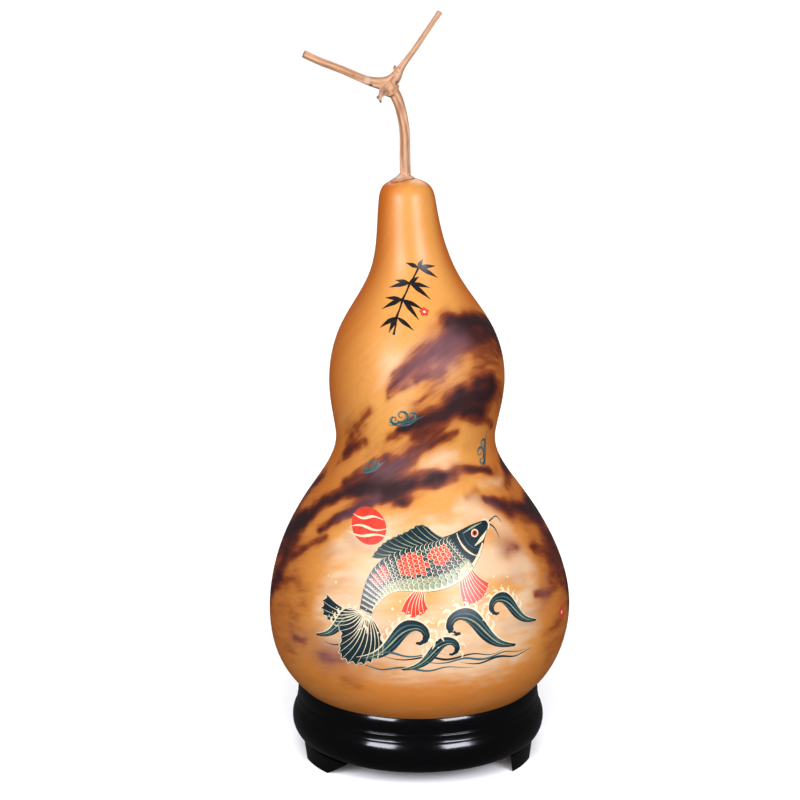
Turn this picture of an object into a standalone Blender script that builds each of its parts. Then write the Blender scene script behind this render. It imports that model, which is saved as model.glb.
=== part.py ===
"""A double-bellied bottle gourd with its dried stem, set in a round black stand on three feet.

Metres, +Z up. The origin is on the table under the middle of the stand, and the front faces -Y.
An azimuth is 0 at the front and grows towards +X.
"""

import math

import bmesh
import bpy
import numpy as np

# Room between pieces that touch
FIT_GAP = 0.0003

# Gourd: half outline as (radius, height), from the middle of the underside to the top of the neck
GOURD_OUTLINE = (
    (0.0, 0.0230),
    (0.0460, 0.0300),
    (0.0794, 0.0500),
    (0.0880, 0.0600),
    (0.0935, 0.0700),
    (0.0995, 0.0975),
    (0.0890, 0.1460),
    (0.0695, 0.1795),
    (0.0520, 0.2170),
    (0.0530, 0.2240),
    (0.0570, 0.2510),
    (0.0500, 0.2865),
    (0.0280, 0.3240),
    (0.0200, 0.3560),
    (0.0182, 0.3700),
    (0.0153, 0.3790),
    (0.0095, 0.3828),
    (0.0, 0.3845),
)
# How far the gourd's middle wanders to the side, as (height, offset along X)
GOURD_LEAN = (
    (0.060, 0.0),
    (0.100, 0.0010),
    (0.150, -0.0005),
    (0.205, -0.0020),
    (0.255, -0.0010),
    (0.300, -0.0020),
    (0.330, -0.0040),
    (0.355, -0.0065),
    (0.400, -0.0080),
)
# A grown gourd isn't quite round: shares of the radius, between heights where it fades in and out
GOURD_OVAL = 0.008
GOURD_THREE_SIDED = 0.005
GOURD_UNEVEN_FROM = (0.060, 0.100)
GOURD_UNEVEN_TO = (0.350, 0.375)
GOURD_SIDES = 60
GOURD_BODY_ROWS = 34
GOURD_CROWN_ROWS = 8
GOURD_CROWN_START = 0.93

# Scar on top of the neck that the foot of the stem stands in
SCAR_X = -0.0088
SCAR_RADIUS = 0.0055
SCAR_DEPTH = 0.0020

# Stem: the fruit stalk that rises from the gourd, as places and radii
STALK_PATH = (
    (-0.0088, 0.0, 0.3855),
    (-0.0089, 0.0, 0.3957),
    (-0.0088, 0.0, 0.4065),
    (-0.0091, 0.0, 0.4160),
    (-0.0107, 0.0, 0.4249),
    (-0.0128, 0.0, 0.4321),
    (-0.0158, 0.0, 0.4384),
    (-0.0193, 0.0, 0.4434),
)
STALK_RADII = (0.0034, 0.0033, 0.0032, 0.0032, 0.0032, 0.0033, 0.0035, 0.0034)
# The length of vine that was cut with it, from its left end through the knot to its right end
VINE_PATH = (
    (-0.0722, -0.0090, 0.4634),
    (-0.0608, -0.0070, 0.4580),
    (-0.0490, -0.0045, 0.4532),
    (-0.0397, -0.0025, 0.4489),
    (-0.0328, -0.0010, 0.4460),
    (-0.0252, 0.0, 0.4442),
    (-0.0189, 0.0005, 0.4446),
    (-0.0152, 0.0010, 0.4477),
    (-0.0126, 0.0020, 0.4520),
    (-0.0088, 0.0030, 0.4574),
    (-0.0029, 0.0045, 0.4651),
    (0.0046, 0.0065, 0.4757),
    (0.0133, 0.0090, 0.4881),
)
VINE_RADII = (
    0.0024, 0.0024, 0.0024, 0.0025, 0.0027, 0.0036, 0.0042, 0.0037, 0.0027, 0.0020, 0.0018, 0.0017, 0.0017,
)
# Broken tendril that curls under the knot, and the short spike above it
TENDRIL_PATH = (
    (-0.0208, -0.0010, 0.4420),
    (-0.0228, -0.0030, 0.4385),
    (-0.0240, -0.0045, 0.4354),
    (-0.0268, -0.0050, 0.4346),
)
TENDRIL_RADII = (0.0036, 0.0030, 0.0022, 0.0010)
SPIKE_PATH = (
    (-0.0136, 0.0010, 0.4490),
    (-0.0150, -0.0005, 0.4526),
    (-0.0154, -0.0010, 0.4546),
    (-0.0146, -0.0012, 0.4555),
)
SPIKE_RADII = (0.0020, 0.0012, 0.0008, 0.0005)
# Swollen wood where stalk and vine meet
KNOT_CENTRE = (-0.0188, -0.0008, 0.4410)
KNOT_SIZE = (0.0062, 0.0052, 0.0060)
KNOT_LUMPS = 0.12
KNOT_LUMP_WAVES = (7.0, 5.0, 6.0)
# Dry wood shrinks into ribs along the stem
STEM_RIBS = 5
STEM_RIB_DEPTH = 0.07
STEM_TWIST = 18.0
STALK_SIDES = 20
VINE_SIDES = 15
TWIG_SIDES = 10
STEM_ROW_STEP = 0.0035
TWIG_ROW_STEP = 0.0015
# Skirt of stem tissue that spreads over the top of the neck, widest at the left front
SKIRT_REACH = 0.0062
SKIRT_EXTRA_REACH = 0.0045
SKIRT_WIDEST_AT = math.radians(-55)
SKIRT_EDGE = 0.0005
SKIRT_RISE = 0.0030
SKIRT_INNER_RADIUS = 0.0029
SKIRT_HOLLOW = 3.0
SKIRT_SIDES = 32
SKIRT_ROWS = 5
SKIRT_EXTRA_GAP = 0.0001

# Stand ring: lip round the seat, small step, big half-round moulding, flat underside
LIP_RADIUS = 0.0802
LIP_ROUND_CENTRE = (0.0787, 0.0477)
LIP_ROUND_FROM = math.radians(85)
LIP_ROUND_POINTS = 5
STEP_TOP = 0.0386
STEP_RADIUS = 0.0807
STEP_ROUND = 0.0004
STEP_ROUND_POINTS = 3
MOULDING_CENTRE = (0.0744, 0.0244)
MOULDING_HALF_WIDTH = 0.0096
MOULDING_HALF_HEIGHT = 0.0130
MOULDING_START = math.radians(47)
MOULDING_POINTS = 10
BORE_RADIUS = 0.0650
SEAT_POINTS = 4
RING_STEPS = 72

# Feet: sawn brackets under the ring. Each has its first and last azimuth in degrees, on the floor and
# at the ring, and how much later its inner side starts, because one end was sawn askew
FOOT_OUTER_RADIUS = 0.0775
FOOT_INNER_RADIUS = 0.0705
FOOT_ARC_STEPS = 8
FOOT_BEVEL = 0.0005
FEET = {
    "foot_left": ((-72.0, -50.5), (-79.5, -37.0), 0.0),
    "foot_right": ((52.8, 73.0), (51.2, 82.0), 8.0),
    "foot_back": ((170.0, 191.0), (158.0, 201.0), 0.0),
}

# Finishes as (linear colour, roughness, metallic)
RIND = ((0.68, 0.29, 0.07), 0.35, 0.0)
DRY_WOOD = ((0.60, 0.37, 0.23), 0.75, 0.0)
BLACK_LACQUER = ((0.004, 0.004, 0.006), 0.12, 0.0)


def clear_scene():
    """Removes every object of the scene that Blender opened with."""
    for obj in list(bpy.data.objects):
        bpy.data.objects.remove(obj, do_unlink=True)


def make_material(name, finish):
    """A Principled BSDF material from a colour, a roughness and a metallic value."""
    colour, roughness, metallic = finish
    material = bpy.data.materials.new(name)
    material.use_nodes = True
    shader = material.node_tree.nodes["Principled BSDF"]
    shader.inputs["Base Color"].default_value = (*colour, 1.0)
    shader.inputs["Roughness"].default_value = roughness
    shader.inputs["Metallic"].default_value = metallic
    return material


def add_mesh_object(name, points, faces, material=None):
    """A smooth-shaded mesh object whose faces all point outwards."""
    mesh = bpy.data.meshes.new(name)
    mesh.from_pydata([tuple(point) for point in points], [], faces)
    work = bmesh.new()
    work.from_mesh(mesh)
    bmesh.ops.recalc_face_normals(work, faces=work.faces)
    work.to_mesh(mesh)
    work.free()
    mesh.shade_smooth()
    obj = bpy.data.objects.new(name, mesh)
    bpy.context.scene.collection.objects.link(obj)
    if material:
        mesh.materials.append(material)
    return obj


def spline(knots, values, end_slopes=None):
    """A cubic spline as a function of its parameter.

    It is natural, with no bend at its ends, unless the slopes at both ends are given.
    """
    x = np.asarray(knots, float)
    y = np.asarray(values, float).reshape(len(x), -1)
    width = np.diff(x)[:, None]
    rise = np.diff(y, axis=0) / width
    system = np.zeros((len(x), len(x)))
    right = np.zeros_like(y)
    for i in range(1, len(x) - 1):
        before, after = 1 / width[i - 1, 0], 1 / width[i, 0]
        system[i, i - 1 : i + 2] = before, 2 * (before + after), after
        right[i] = 3 * (rise[i - 1] * before + rise[i] * after)
    if end_slopes is None:
        system[0, :2] = 2, 1
        system[-1, -2:] = 1, 2
        right[0], right[-1] = 3 * rise[0], 3 * rise[-1]
    else:
        system[0, 0] = system[-1, -1] = 1
        right[0], right[-1] = end_slopes
    slopes = np.linalg.solve(system, right)

    def at(where):
        where = np.atleast_1d(where)
        i = np.clip(np.searchsorted(x, where) - 1, 0, len(x) - 2)
        t = ((where - x[i]) / width[i, 0])[:, None]
        start = y[i] * (1 + 2 * t) + slopes[i] * width[i] * t
        end = y[i + 1] * (3 - 2 * t) - slopes[i + 1] * width[i] * (1 - t)
        return start * (1 - t) ** 2 + end * t**2

    return at


def path_spline(points, end_slopes=None):
    """A cubic spline through points, by distance along them, and its whole length."""
    steps = np.linalg.norm(np.diff(np.asarray(points, float), axis=0), axis=1)
    knots = np.concatenate([[0.0], np.cumsum(steps)])
    return spline(knots, points, end_slopes), knots


def smooth_step(low, high, value):
    """0 below low, 1 above high, and a smooth rise between them."""
    t = np.clip((value - low) / (high - low), 0, 1)
    return t * t * (3 - 2 * t)


def gourd_lean(height):
    """Sideways offset of the gourd's middle at each height. It is 0 in the stand."""
    low, high = GOURD_LEAN[0][0], GOURD_LEAN[-1][0]
    curve = spline([h for h, _ in GOURD_LEAN], [x for _, x in GOURD_LEAN], (0.0, 0.0))
    return curve(np.clip(height, low, high))[:, 0]


def gourd_outline(along):
    """Radius and height of the gourd, level at both ends, for shares of its outline from 0 to 1."""
    curve, knots = path_spline(GOURD_OUTLINE, ((1.0, 0.0), (-1.0, 0.0)))
    return curve(np.asarray(along) * knots[-1]).T


def gourd_points(along, azimuth):
    """Grid of points on the gourd, as rows of one height and columns of one azimuth."""
    radius, height = gourd_outline(along)
    uneven = smooth_step(*GOURD_UNEVEN_FROM, height) - smooth_step(*GOURD_UNEVEN_TO, height)
    swell = GOURD_THREE_SIDED * np.cos(3 * azimuth) - GOURD_OVAL * np.sin(2 * azimuth)
    spread = radius[:, None] * (1 + uneven[:, None] * swell)
    x = spread * np.sin(azimuth) + gourd_lean(height)[:, None]
    y = -spread * np.cos(azimuth)
    z = np.broadcast_to(height[:, None], x.shape)
    return np.stack([x, y, z], axis=-1)


def grid_faces(rows, columns):
    """Quads between neighbouring rows of a grid whose columns close on themselves."""
    faces = []
    for row in range(rows - 1):
        for column in range(columns):
            after = (column + 1) % columns
            low, high = row * columns, (row + 1) * columns
            faces.append((low + column, low + after, high + after, high + column))
    return faces


def closed_tube(grid):
    """Points and faces of a grid of rings, closed at both ends by fans round their middles."""
    rows, columns = grid.shape[:2]
    points = np.concatenate([grid.reshape(-1, 3), [grid[0].mean(axis=0)], [grid[-1].mean(axis=0)]])
    faces = grid_faces(rows, columns)
    first, last = rows * columns, rows * columns + 1
    for column in range(columns):
        after = (column + 1) % columns
        faces.append((first, after, column))
        faces.append((last, (rows - 1) * columns + column, (rows - 1) * columns + after))
    return points, faces


def make_gourd():
    """The whole gourd as one solid, with the scar for the stem cut into its top."""
    body = np.linspace(0, GOURD_CROWN_START, GOURD_BODY_ROWS)[1:]
    crown = np.linspace(GOURD_CROWN_START, 1, GOURD_CROWN_ROWS + 1)[1:-1]
    azimuth = np.linspace(0, 2 * np.pi, GOURD_SIDES, endpoint=False)
    points, faces = closed_tube(gourd_points(np.concatenate([body, crown]), azimuth))
    middle = gourd_points(np.array([0.0, 1.0]), np.array([0.0]))[:, 0]
    points[-2:] = middle
    gourd = add_mesh_object("gourd", points, faces, make_material("varnished_rind", RIND))

    scar_floor = dome_height(np.array([SCAR_X]), np.array([0.0]))[0] - SCAR_DEPTH
    angles = np.linspace(0, 2 * np.pi, SKIRT_SIDES, endpoint=False)
    ring = np.stack([SCAR_X + SCAR_RADIUS * np.cos(angles), SCAR_RADIUS * np.sin(angles)], axis=-1)
    heights = (scar_floor, scar_floor + 4 * SCAR_DEPTH)
    grid = np.stack([np.column_stack([ring, np.full(SKIRT_SIDES, height)]) for height in heights])
    cutter = add_mesh_object("scar_cutter", *closed_tube(grid))
    cutter.hide_render = True
    cutter.display_type = "WIRE"
    cut = gourd.modifiers.new("scar", "BOOLEAN")
    cut.operation = "DIFFERENCE"
    cut.solver = "EXACT"
    cut.object = cutter
    return gourd


def dome_height(x, y):
    """Height of the top of the neck over places near its middle."""
    radius, height = gourd_outline(np.linspace(1, GOURD_CROWN_START, 200))
    middle = gourd_lean(height[:1])[0]
    return np.interp(np.hypot(x - middle, y), radius, height)


def stem_grid(path, radii, sides, row_step, ribs=STEM_RIBS):
    """Rings of a ribbed round section carried along a path, each square to it."""
    curve, knots = path_spline(path)
    rows = max(4, round(knots[-1] / row_step) + 1)
    where = np.linspace(0, knots[-1], rows)
    centre = curve(where)
    radius = spline(knots, radii)(where)[:, 0]
    tangent = np.gradient(centre, axis=0)
    tangent /= np.linalg.norm(tangent, axis=1)[:, None]
    across = np.array([0.0, 1.0, 0.0]) - tangent[:, 1:2] * tangent
    across /= np.linalg.norm(across, axis=1)[:, None]
    other = np.cross(across, tangent)
    angle = np.linspace(0, 2 * np.pi, sides, endpoint=False)
    turn = STEM_TWIST * where[:, None]
    reach = radius[:, None] * (1 + STEM_RIB_DEPTH * np.cos(ribs * (angle + turn)))
    return (
        centre[:, None]
        + (reach * np.cos(angle))[..., None] * other[:, None]
        + (reach * np.sin(angle))[..., None] * across[:, None]
    )


def make_knot():
    """A ball stretched to the knot's size and made lumpy by crossed waves."""
    work = bmesh.new()
    bmesh.ops.create_icosphere(work, subdivisions=3, radius=1.0)
    a, b, c = KNOT_LUMP_WAVES
    for vertex in work.verts:
        x, y, z = vertex.co
        lump = 1 + KNOT_LUMPS * math.sin(a * x + 1) * math.sin(b * y + 2) * math.sin(c * z)
        for axis in range(3):
            vertex.co[axis] = KNOT_CENTRE[axis] + KNOT_SIZE[axis] * lump * vertex.co[axis]
    mesh = bpy.data.meshes.new("knot")
    work.to_mesh(mesh)
    work.free()
    knot = bpy.data.objects.new("knot", mesh)
    bpy.context.scene.collection.objects.link(knot)
    return knot


def make_skirt():
    """The flared foot of the stalk: it hugs the dome of the neck and stands in the scar.

    Its height over the dome is a thin edge plus a rise that falls off as a power of the distance out.
    """
    azimuth = np.linspace(0, 2 * np.pi, SKIRT_SIDES, endpoint=False)
    towards = np.clip(np.cos(azimuth - SKIRT_WIDEST_AT), 0, 1)
    reach = SKIRT_REACH + SKIRT_EXTRA_REACH * towards**2
    shares = np.linspace(0, 1, SKIRT_ROWS)[:, None]
    out = SKIRT_INNER_RADIUS + (reach - SKIRT_INNER_RADIUS) * shares
    gap = FIT_GAP + SKIRT_EXTRA_GAP
    over_dome = gap + SKIRT_EDGE + SKIRT_RISE * (1 - shares) ** SKIRT_HOLLOW + 0 * out
    top = skirt_ring(out, azimuth, over_dome)
    plug = SCAR_RADIUS - FIT_GAP
    under_out = np.stack([reach, (reach + plug) / 2, np.full(SKIRT_SIDES, plug)])
    under = skirt_ring(under_out, azimuth, np.full_like(under_out, gap))
    sole = under[-1:].copy()
    sole[..., 2] = dome_height(np.array([SCAR_X]), np.array([0.0]))[0] - SCAR_DEPTH + FIT_GAP
    return add_mesh_object("skirt", *closed_tube(np.concatenate([top, under, sole])))


def skirt_ring(distance, azimuth, over_dome):
    """Points round the stem's foot at a distance from its axis and a height over the dome."""
    x = SCAR_X + distance * np.sin(azimuth)
    y = -distance * np.cos(azimuth)
    return np.stack([x, y, dome_height(x, y) + over_dome], axis=-1)


def make_stem():
    """Stalk, vine, knot, tendril and spike, which grew as one and are joined into one solid."""
    stalk_grid = stem_grid(STALK_PATH, STALK_RADII, STALK_SIDES, STEM_ROW_STEP)
    stem = add_mesh_object("stem", *closed_tube(stalk_grid), make_material("dry_stem", DRY_WOOD))
    vine_grid = stem_grid(VINE_PATH, VINE_RADII, VINE_SIDES, STEM_ROW_STEP)
    tendril_grid = stem_grid(TENDRIL_PATH, TENDRIL_RADII, TWIG_SIDES, TWIG_ROW_STEP)
    spike_grid = stem_grid(SPIKE_PATH, SPIKE_RADII, TWIG_SIDES, TWIG_ROW_STEP)
    grown_on = [
        add_mesh_object("vine", *closed_tube(vine_grid)),
        add_mesh_object("tendril", *closed_tube(tendril_grid)),
        add_mesh_object("spike", *closed_tube(spike_grid)),
        make_knot(),
        make_skirt(),
    ]
    join_solids(stem, grown_on)
    stem.data.shade_smooth()
    return stem


def join_solids(main, others):
    """Boolean union of one object with a collection of others, applied; the others are removed."""
    group = bpy.data.collections.new("grown_on_" + main.name)
    for obj in others:
        group.objects.link(obj)
    union = main.modifiers.new("join", "BOOLEAN")
    union.operation = "UNION"
    union.solver = "EXACT"
    union.operand_type = "COLLECTION"
    union.collection = group
    bpy.context.view_layer.update()
    joined = main.evaluated_get(bpy.context.evaluated_depsgraph_get())
    mesh = bpy.data.meshes.new_from_object(joined)
    main.modifiers.clear()
    main.data = mesh
    mesh.name = main.name
    for obj in others:
        bpy.data.objects.remove(obj, do_unlink=True)
    bpy.data.collections.remove(group)


def arc_points(centre, half_sizes, start, end, count):
    """Points along an ellipse, by angles counted up from straight outwards."""
    angles = np.linspace(start, end, count)
    return [
        (centre[0] + half_sizes[0] * math.cos(angle), centre[1] + half_sizes[1] * math.sin(angle))
        for angle in angles
    ]


def seat_points():
    """The gourd's own outline moved outwards by the fit gap, from the lip in to the bore."""
    radius, height = gourd_outline(np.linspace(0, 0.5, 2001))
    out = np.gradient(height), -np.gradient(radius)
    size = np.hypot(*out)
    radius, height = radius + FIT_GAP * out[0] / size, height + FIT_GAP * out[1] / size
    lip_round = LIP_RADIUS - LIP_ROUND_CENTRE[0]
    highest = LIP_ROUND_CENTRE[1] + lip_round * math.sin(LIP_ROUND_FROM)
    lowest = np.interp(BORE_RADIUS, radius[: radius.argmax()], height[: radius.argmax()])
    levels = np.linspace(highest, lowest, SEAT_POINTS)
    return [(float(np.interp(level, height, radius)), float(level)) for level in levels]


def ring_outline():
    """Section of the ring as (radius, height): down its outer side, across below and up the seat."""
    lip_round = LIP_RADIUS - LIP_ROUND_CENTRE[0]
    step_centre = (STEP_RADIUS - STEP_ROUND, STEP_TOP - STEP_ROUND)
    moulding = (MOULDING_HALF_WIDTH, MOULDING_HALF_HEIGHT)
    lip = arc_points(LIP_ROUND_CENTRE, (lip_round, lip_round), LIP_ROUND_FROM, 0, LIP_ROUND_POINTS)
    step = arc_points(step_centre, (STEP_ROUND, STEP_ROUND), math.pi / 2, 0, STEP_ROUND_POINTS)
    half_round = arc_points(MOULDING_CENTRE, moulding, MOULDING_START, -math.pi / 2, MOULDING_POINTS)
    underside = [(BORE_RADIUS, half_round[-1][1])]
    seat = seat_points()
    return lip + [(LIP_RADIUS, STEP_TOP)] + step[1:] + half_round + underside + seat[:0:-1]


def make_ring(material):
    """The stand's ring, turned from its section by a Screw modifier."""
    outline = ring_outline()
    mesh = bpy.data.meshes.new("stand_ring")
    edges = [(i, (i + 1) % len(outline)) for i in range(len(outline))]
    mesh.from_pydata([(radius, 0.0, height) for radius, height in outline], edges, [])
    mesh.materials.append(material)
    ring = bpy.data.objects.new("stand_ring", mesh)
    bpy.context.scene.collection.objects.link(ring)
    turn = ring.modifiers.new("turn", "SCREW")
    turn.axis = "Z"
    turn.angle = 2 * math.pi
    turn.steps = turn.render_steps = RING_STEPS
    turn.use_merge_vertices = True
    turn.merge_threshold = 0.00001
    turn.use_smooth_shade = True
    return ring


def make_foot(name, material):
    """A bracket foot: an arc of the stand's circle, wider at the ring than at the floor."""
    (floor_first, floor_last), (top_first, top_last), askew = FEET[name]
    top = MOULDING_CENTRE[1] - MOULDING_HALF_HEIGHT - FIT_GAP
    corners = (
        (FOOT_OUTER_RADIUS, floor_first, floor_last, 0.0),
        (FOOT_OUTER_RADIUS, top_first, top_last, top),
        (FOOT_INNER_RADIUS, top_first + askew, top_last, top),
        (FOOT_INNER_RADIUS, floor_first + askew, floor_last, 0.0),
    )
    sections = []
    for radius, first, last, height in corners:
        arc = np.radians(np.linspace(first, last, FOOT_ARC_STEPS + 1))
        level = np.full(len(arc), height)
        sections.append(np.column_stack([radius * np.sin(arc), -radius * np.cos(arc), level]))
    points = np.stack(sections, axis=1).reshape(-1, 3)
    faces = grid_faces(FOOT_ARC_STEPS + 1, len(corners))
    faces.append(tuple(range(len(corners))))
    faces.append(tuple(range(len(points) - len(corners), len(points))))
    foot = add_mesh_object(name, points, faces, material)
    bevel = foot.modifiers.new("eased edges", "BEVEL")
    bevel.width = FOOT_BEVEL
    bevel.segments = 2
    bevel.limit_method = "ANGLE"
    return foot


def make_stand():
    """The ring and the three feet glued under it."""
    lacquer = make_material("black_lacquer", BLACK_LACQUER)
    stand = bpy.data.objects.new("stand", None)
    bpy.context.scene.collection.objects.link(stand)
    for piece in [make_ring(lacquer)] + [make_foot(name, lacquer) for name in FEET]:
        piece.parent = stand


clear_scene()
make_gourd()
make_stem()
make_stand()
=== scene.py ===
"""A burnt and painted bottle gourd with its dried stem, in a round black lacquered stand.

Metres, +Z up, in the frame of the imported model. The front faces -Y, and an azimuth is 0 there and
grows towards +X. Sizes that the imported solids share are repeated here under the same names.
"""

import logging
import math
from collections.abc import Callable, Sequence
from dataclasses import dataclass, field
from enum import Enum

import bpy
import numpy as np
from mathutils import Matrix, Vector


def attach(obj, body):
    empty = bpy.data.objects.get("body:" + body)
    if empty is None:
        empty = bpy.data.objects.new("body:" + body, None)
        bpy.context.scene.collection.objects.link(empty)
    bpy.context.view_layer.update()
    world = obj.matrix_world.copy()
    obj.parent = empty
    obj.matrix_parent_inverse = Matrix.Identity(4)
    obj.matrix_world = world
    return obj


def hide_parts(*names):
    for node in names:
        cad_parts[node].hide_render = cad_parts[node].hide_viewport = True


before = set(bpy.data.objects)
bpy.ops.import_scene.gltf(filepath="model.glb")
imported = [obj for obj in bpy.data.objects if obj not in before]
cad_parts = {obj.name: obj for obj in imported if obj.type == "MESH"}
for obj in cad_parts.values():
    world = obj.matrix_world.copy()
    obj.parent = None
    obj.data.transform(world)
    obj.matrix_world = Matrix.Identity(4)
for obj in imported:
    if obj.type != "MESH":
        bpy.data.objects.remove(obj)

log = logging.getLogger("gourd")

Path = Sequence[Sequence[float]]
Pair = tuple[float, float]
Socket = bpy.types.NodeSocket
Tree = bpy.types.NodeTree
MM = 0.001


def linear(colour: str) -> tuple[float, float, float, float]:
    """Turns an sRGB hex colour into the linear values that a shader socket takes.

    Args:
        colour: six hex digits, such as "e69545".

    Returns:
        Red, green and blue, and 1 as the fourth value.
    """
    share = [int(colour[i : i + 2], 16) / 255 for i in (0, 2, 4)]
    red, green, blue = (s / 12.92 if s <= 0.04045 else ((s + 0.055) / 1.055) ** 2.4 for s in share)
    return red, green, blue, 1.0


def smooth_step(low: float, high: float, value: np.ndarray) -> np.ndarray:
    """Gives 0 below low, 1 above high and 3t^2 - 2t^3 between them."""
    t = np.clip((value - low) / (high - low), 0, 1)
    return t * t * (3 - 2 * t)


def spline(knots: Sequence[float], values: Path, end_slopes: Path | None = None) -> Callable:
    """Makes a cubic spline as a function of its parameter.

    Between two knots it is the cubic with the values and slopes of both, and the slopes solve the
    equations that make the bend run on through every knot. It is natural, with no bend at its ends,
    unless the slopes there are given.

    Args:
        knots: growing parameter values.
        values: one value or one point for each knot.
        end_slopes: slopes at the first and the last knot.

    Returns:
        A function from parameters, as an array of any shape, to values with one more axis.
    """
    x = np.asarray(knots, float)
    y = np.asarray(values, float).reshape(len(x), -1)
    width = np.diff(x)[:, None]
    rise = np.diff(y, axis=0) / width
    system = np.zeros((len(x), len(x)))
    right = np.zeros_like(y)
    for i in range(1, len(x) - 1):
        before, after = 1 / width[i - 1, 0], 1 / width[i, 0]
        system[i, i - 1 : i + 2] = before, 2 * (before + after), after
        right[i] = 3 * (rise[i - 1] * before + rise[i] * after)
    if end_slopes is None:
        system[0, :2] = 2, 1
        system[-1, -2:] = 1, 2
        right[0], right[-1] = 3 * rise[0], 3 * rise[-1]
    else:
        system[0, 0] = system[-1, -1] = 1
        right[0], right[-1] = end_slopes
    slopes = np.linalg.solve(system, right)

    def at(where: np.ndarray) -> np.ndarray:
        """Gives the spline's values at some parameters.

        Args:
            where: the parameters.

        Returns:
            The values, on one more axis.
        """
        where = np.asarray(where, float)
        i = np.clip(np.searchsorted(x, where) - 1, 0, len(x) - 2)
        t = ((where - x[i]) / width[i, 0])[..., None]
        start = y[i] * (1 + 2 * t) + slopes[i] * width[i] * t
        end = y[i + 1] * (3 - 2 * t) - slopes[i + 1] * width[i] * (1 - t)
        return start * (1 - t) ** 2 + end * t**2

    return at


def path_spline(points: Path, end_slopes: Path | None = None) -> tuple[Callable, np.ndarray]:
    """Makes a cubic spline through points, whose parameter is the distance along them.

    Args:
        points: the points.
        end_slopes: directions at the first and the last point.

    Returns:
        The spline's function and its knots.
    """
    steps = np.linalg.norm(np.diff(np.asarray(points, float), axis=0), axis=1)
    knots = np.concatenate([[0.0], np.cumsum(steps)])
    return spline(knots, points, end_slopes), knots


def unit(vectors: np.ndarray) -> np.ndarray:
    """Scales vectors along the last axis to a length of 1."""
    return vectors / np.linalg.norm(vectors, axis=-1, keepdims=True)


def soft_noise(points: np.ndarray, wave: float, seed: int, waves: int = 18) -> np.ndarray:
    """Adds up sine waves of random direction and phase, for smooth unevenness from about -1 to 1.

    Args:
        points: places in metres, on the last axis.
        wave: the waves' usual length in metres.
        seed: number that the random draw starts from.
        waves: how many waves are added.

    Returns:
        One value for each place.
    """
    draw = np.random.default_rng(seed)
    direction = unit(draw.normal(size=(waves, points.shape[-1])))
    pace = 2 * np.pi / (wave * draw.uniform(0.6, 1.6, waves))
    phase = draw.uniform(0, 2 * np.pi, waves)
    total = np.zeros(points.shape[:-1])
    for i in range(waves):
        total += np.sin(points @ direction[i] * pace[i] + phase[i])
    return total / math.sqrt(waves)


def closed_columns(rows: int, columns: int) -> np.ndarray:
    """Makes the quads between neighbouring rows of a grid whose columns close on themselves.

    Args:
        rows: how many rows of points there are.
        columns: how many points each row has.

    Returns:
        Four corner numbers for each quad.
    """
    row, column = np.mgrid[0 : rows - 1, 0:columns]
    after = (column + 1) % columns
    low, high = row * columns, (row + 1) * columns
    return np.stack([low + column, low + after, high + after, high + column], axis=-1).reshape(-1, 4)


def closed_tube(grid: np.ndarray) -> tuple[np.ndarray, list]:
    """Closes a grid of rings at both ends with fans round their middles.

    Args:
        grid: rows of rings of points.

    Returns:
        The points and the faces of a closed body.
    """
    rows, columns = grid.shape[:2]
    points = np.concatenate([grid.reshape(-1, 3), [grid[0].mean(axis=0)], [grid[-1].mean(axis=0)]])
    column = np.arange(columns)
    after = (column + 1) % columns
    first, last, last_row = rows * columns, rows * columns + 1, (rows - 1) * columns
    start = np.stack([np.full(columns, first), after, column], axis=-1)
    end = np.stack([np.full(columns, last), last_row + column, last_row + after], axis=-1)
    return points, closed_columns(rows, columns).tolist() + start.tolist() + end.tolist()


def square_axes(tangent: np.ndarray) -> tuple[np.ndarray, np.ndarray]:
    """Gives two directions square to a path, the second as near to +Y as it can be.

    Args:
        tangent: unit directions of the path, one in each row.

    Returns:
        The two directions at each place.
    """
    across = unit(np.array([0.0, 1.0, 0.0]) - tangent[:, 1:2] * tangent)
    return np.cross(across, tangent), across


def add_piece(
    name: str,
    points: np.ndarray,
    faces: Sequence,
    materials: Sequence[bpy.types.Material],
    slots: np.ndarray | None = None,
) -> bpy.types.Object:
    """Puts points and faces into a smooth-shaded piece that rides on the root body.

    Args:
        name: the piece's name.
        points: places in metres.
        faces: corner numbers of each face.
        materials: the piece's finishes.
        slots: which finish each face takes, if there are several.

    Returns:
        The piece.
    """
    mesh = bpy.data.meshes.new(name)
    mesh.from_pydata(points.tolist(), [], list(faces))
    for material in materials:
        mesh.materials.append(material)
    if slots is not None:
        mesh.polygons.foreach_set("material_index", slots)
    mesh.shade_smooth()
    piece = bpy.data.objects.new(name, mesh)
    bpy.context.scene.collection.objects.link(piece)
    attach(piece, "root")
    log.info("%s: %d points, %d faces", name, len(mesh.vertices), len(mesh.polygons))
    return piece


def set_attribute(piece: bpy.types.Object, name: str, values: np.ndarray) -> None:
    """Stores one number or one vector for each point of a piece.

    Args:
        piece: the piece.
        name: the attribute's name.
        values: a row for each point.
    """
    kind, key = ("FLOAT", "value") if values.ndim == 1 else ("FLOAT_VECTOR", "vector")
    attribute = piece.data.attributes.new(name, kind, "POINT")
    attribute.data.foreach_set(key, values.astype(np.float32).ravel())


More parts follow.
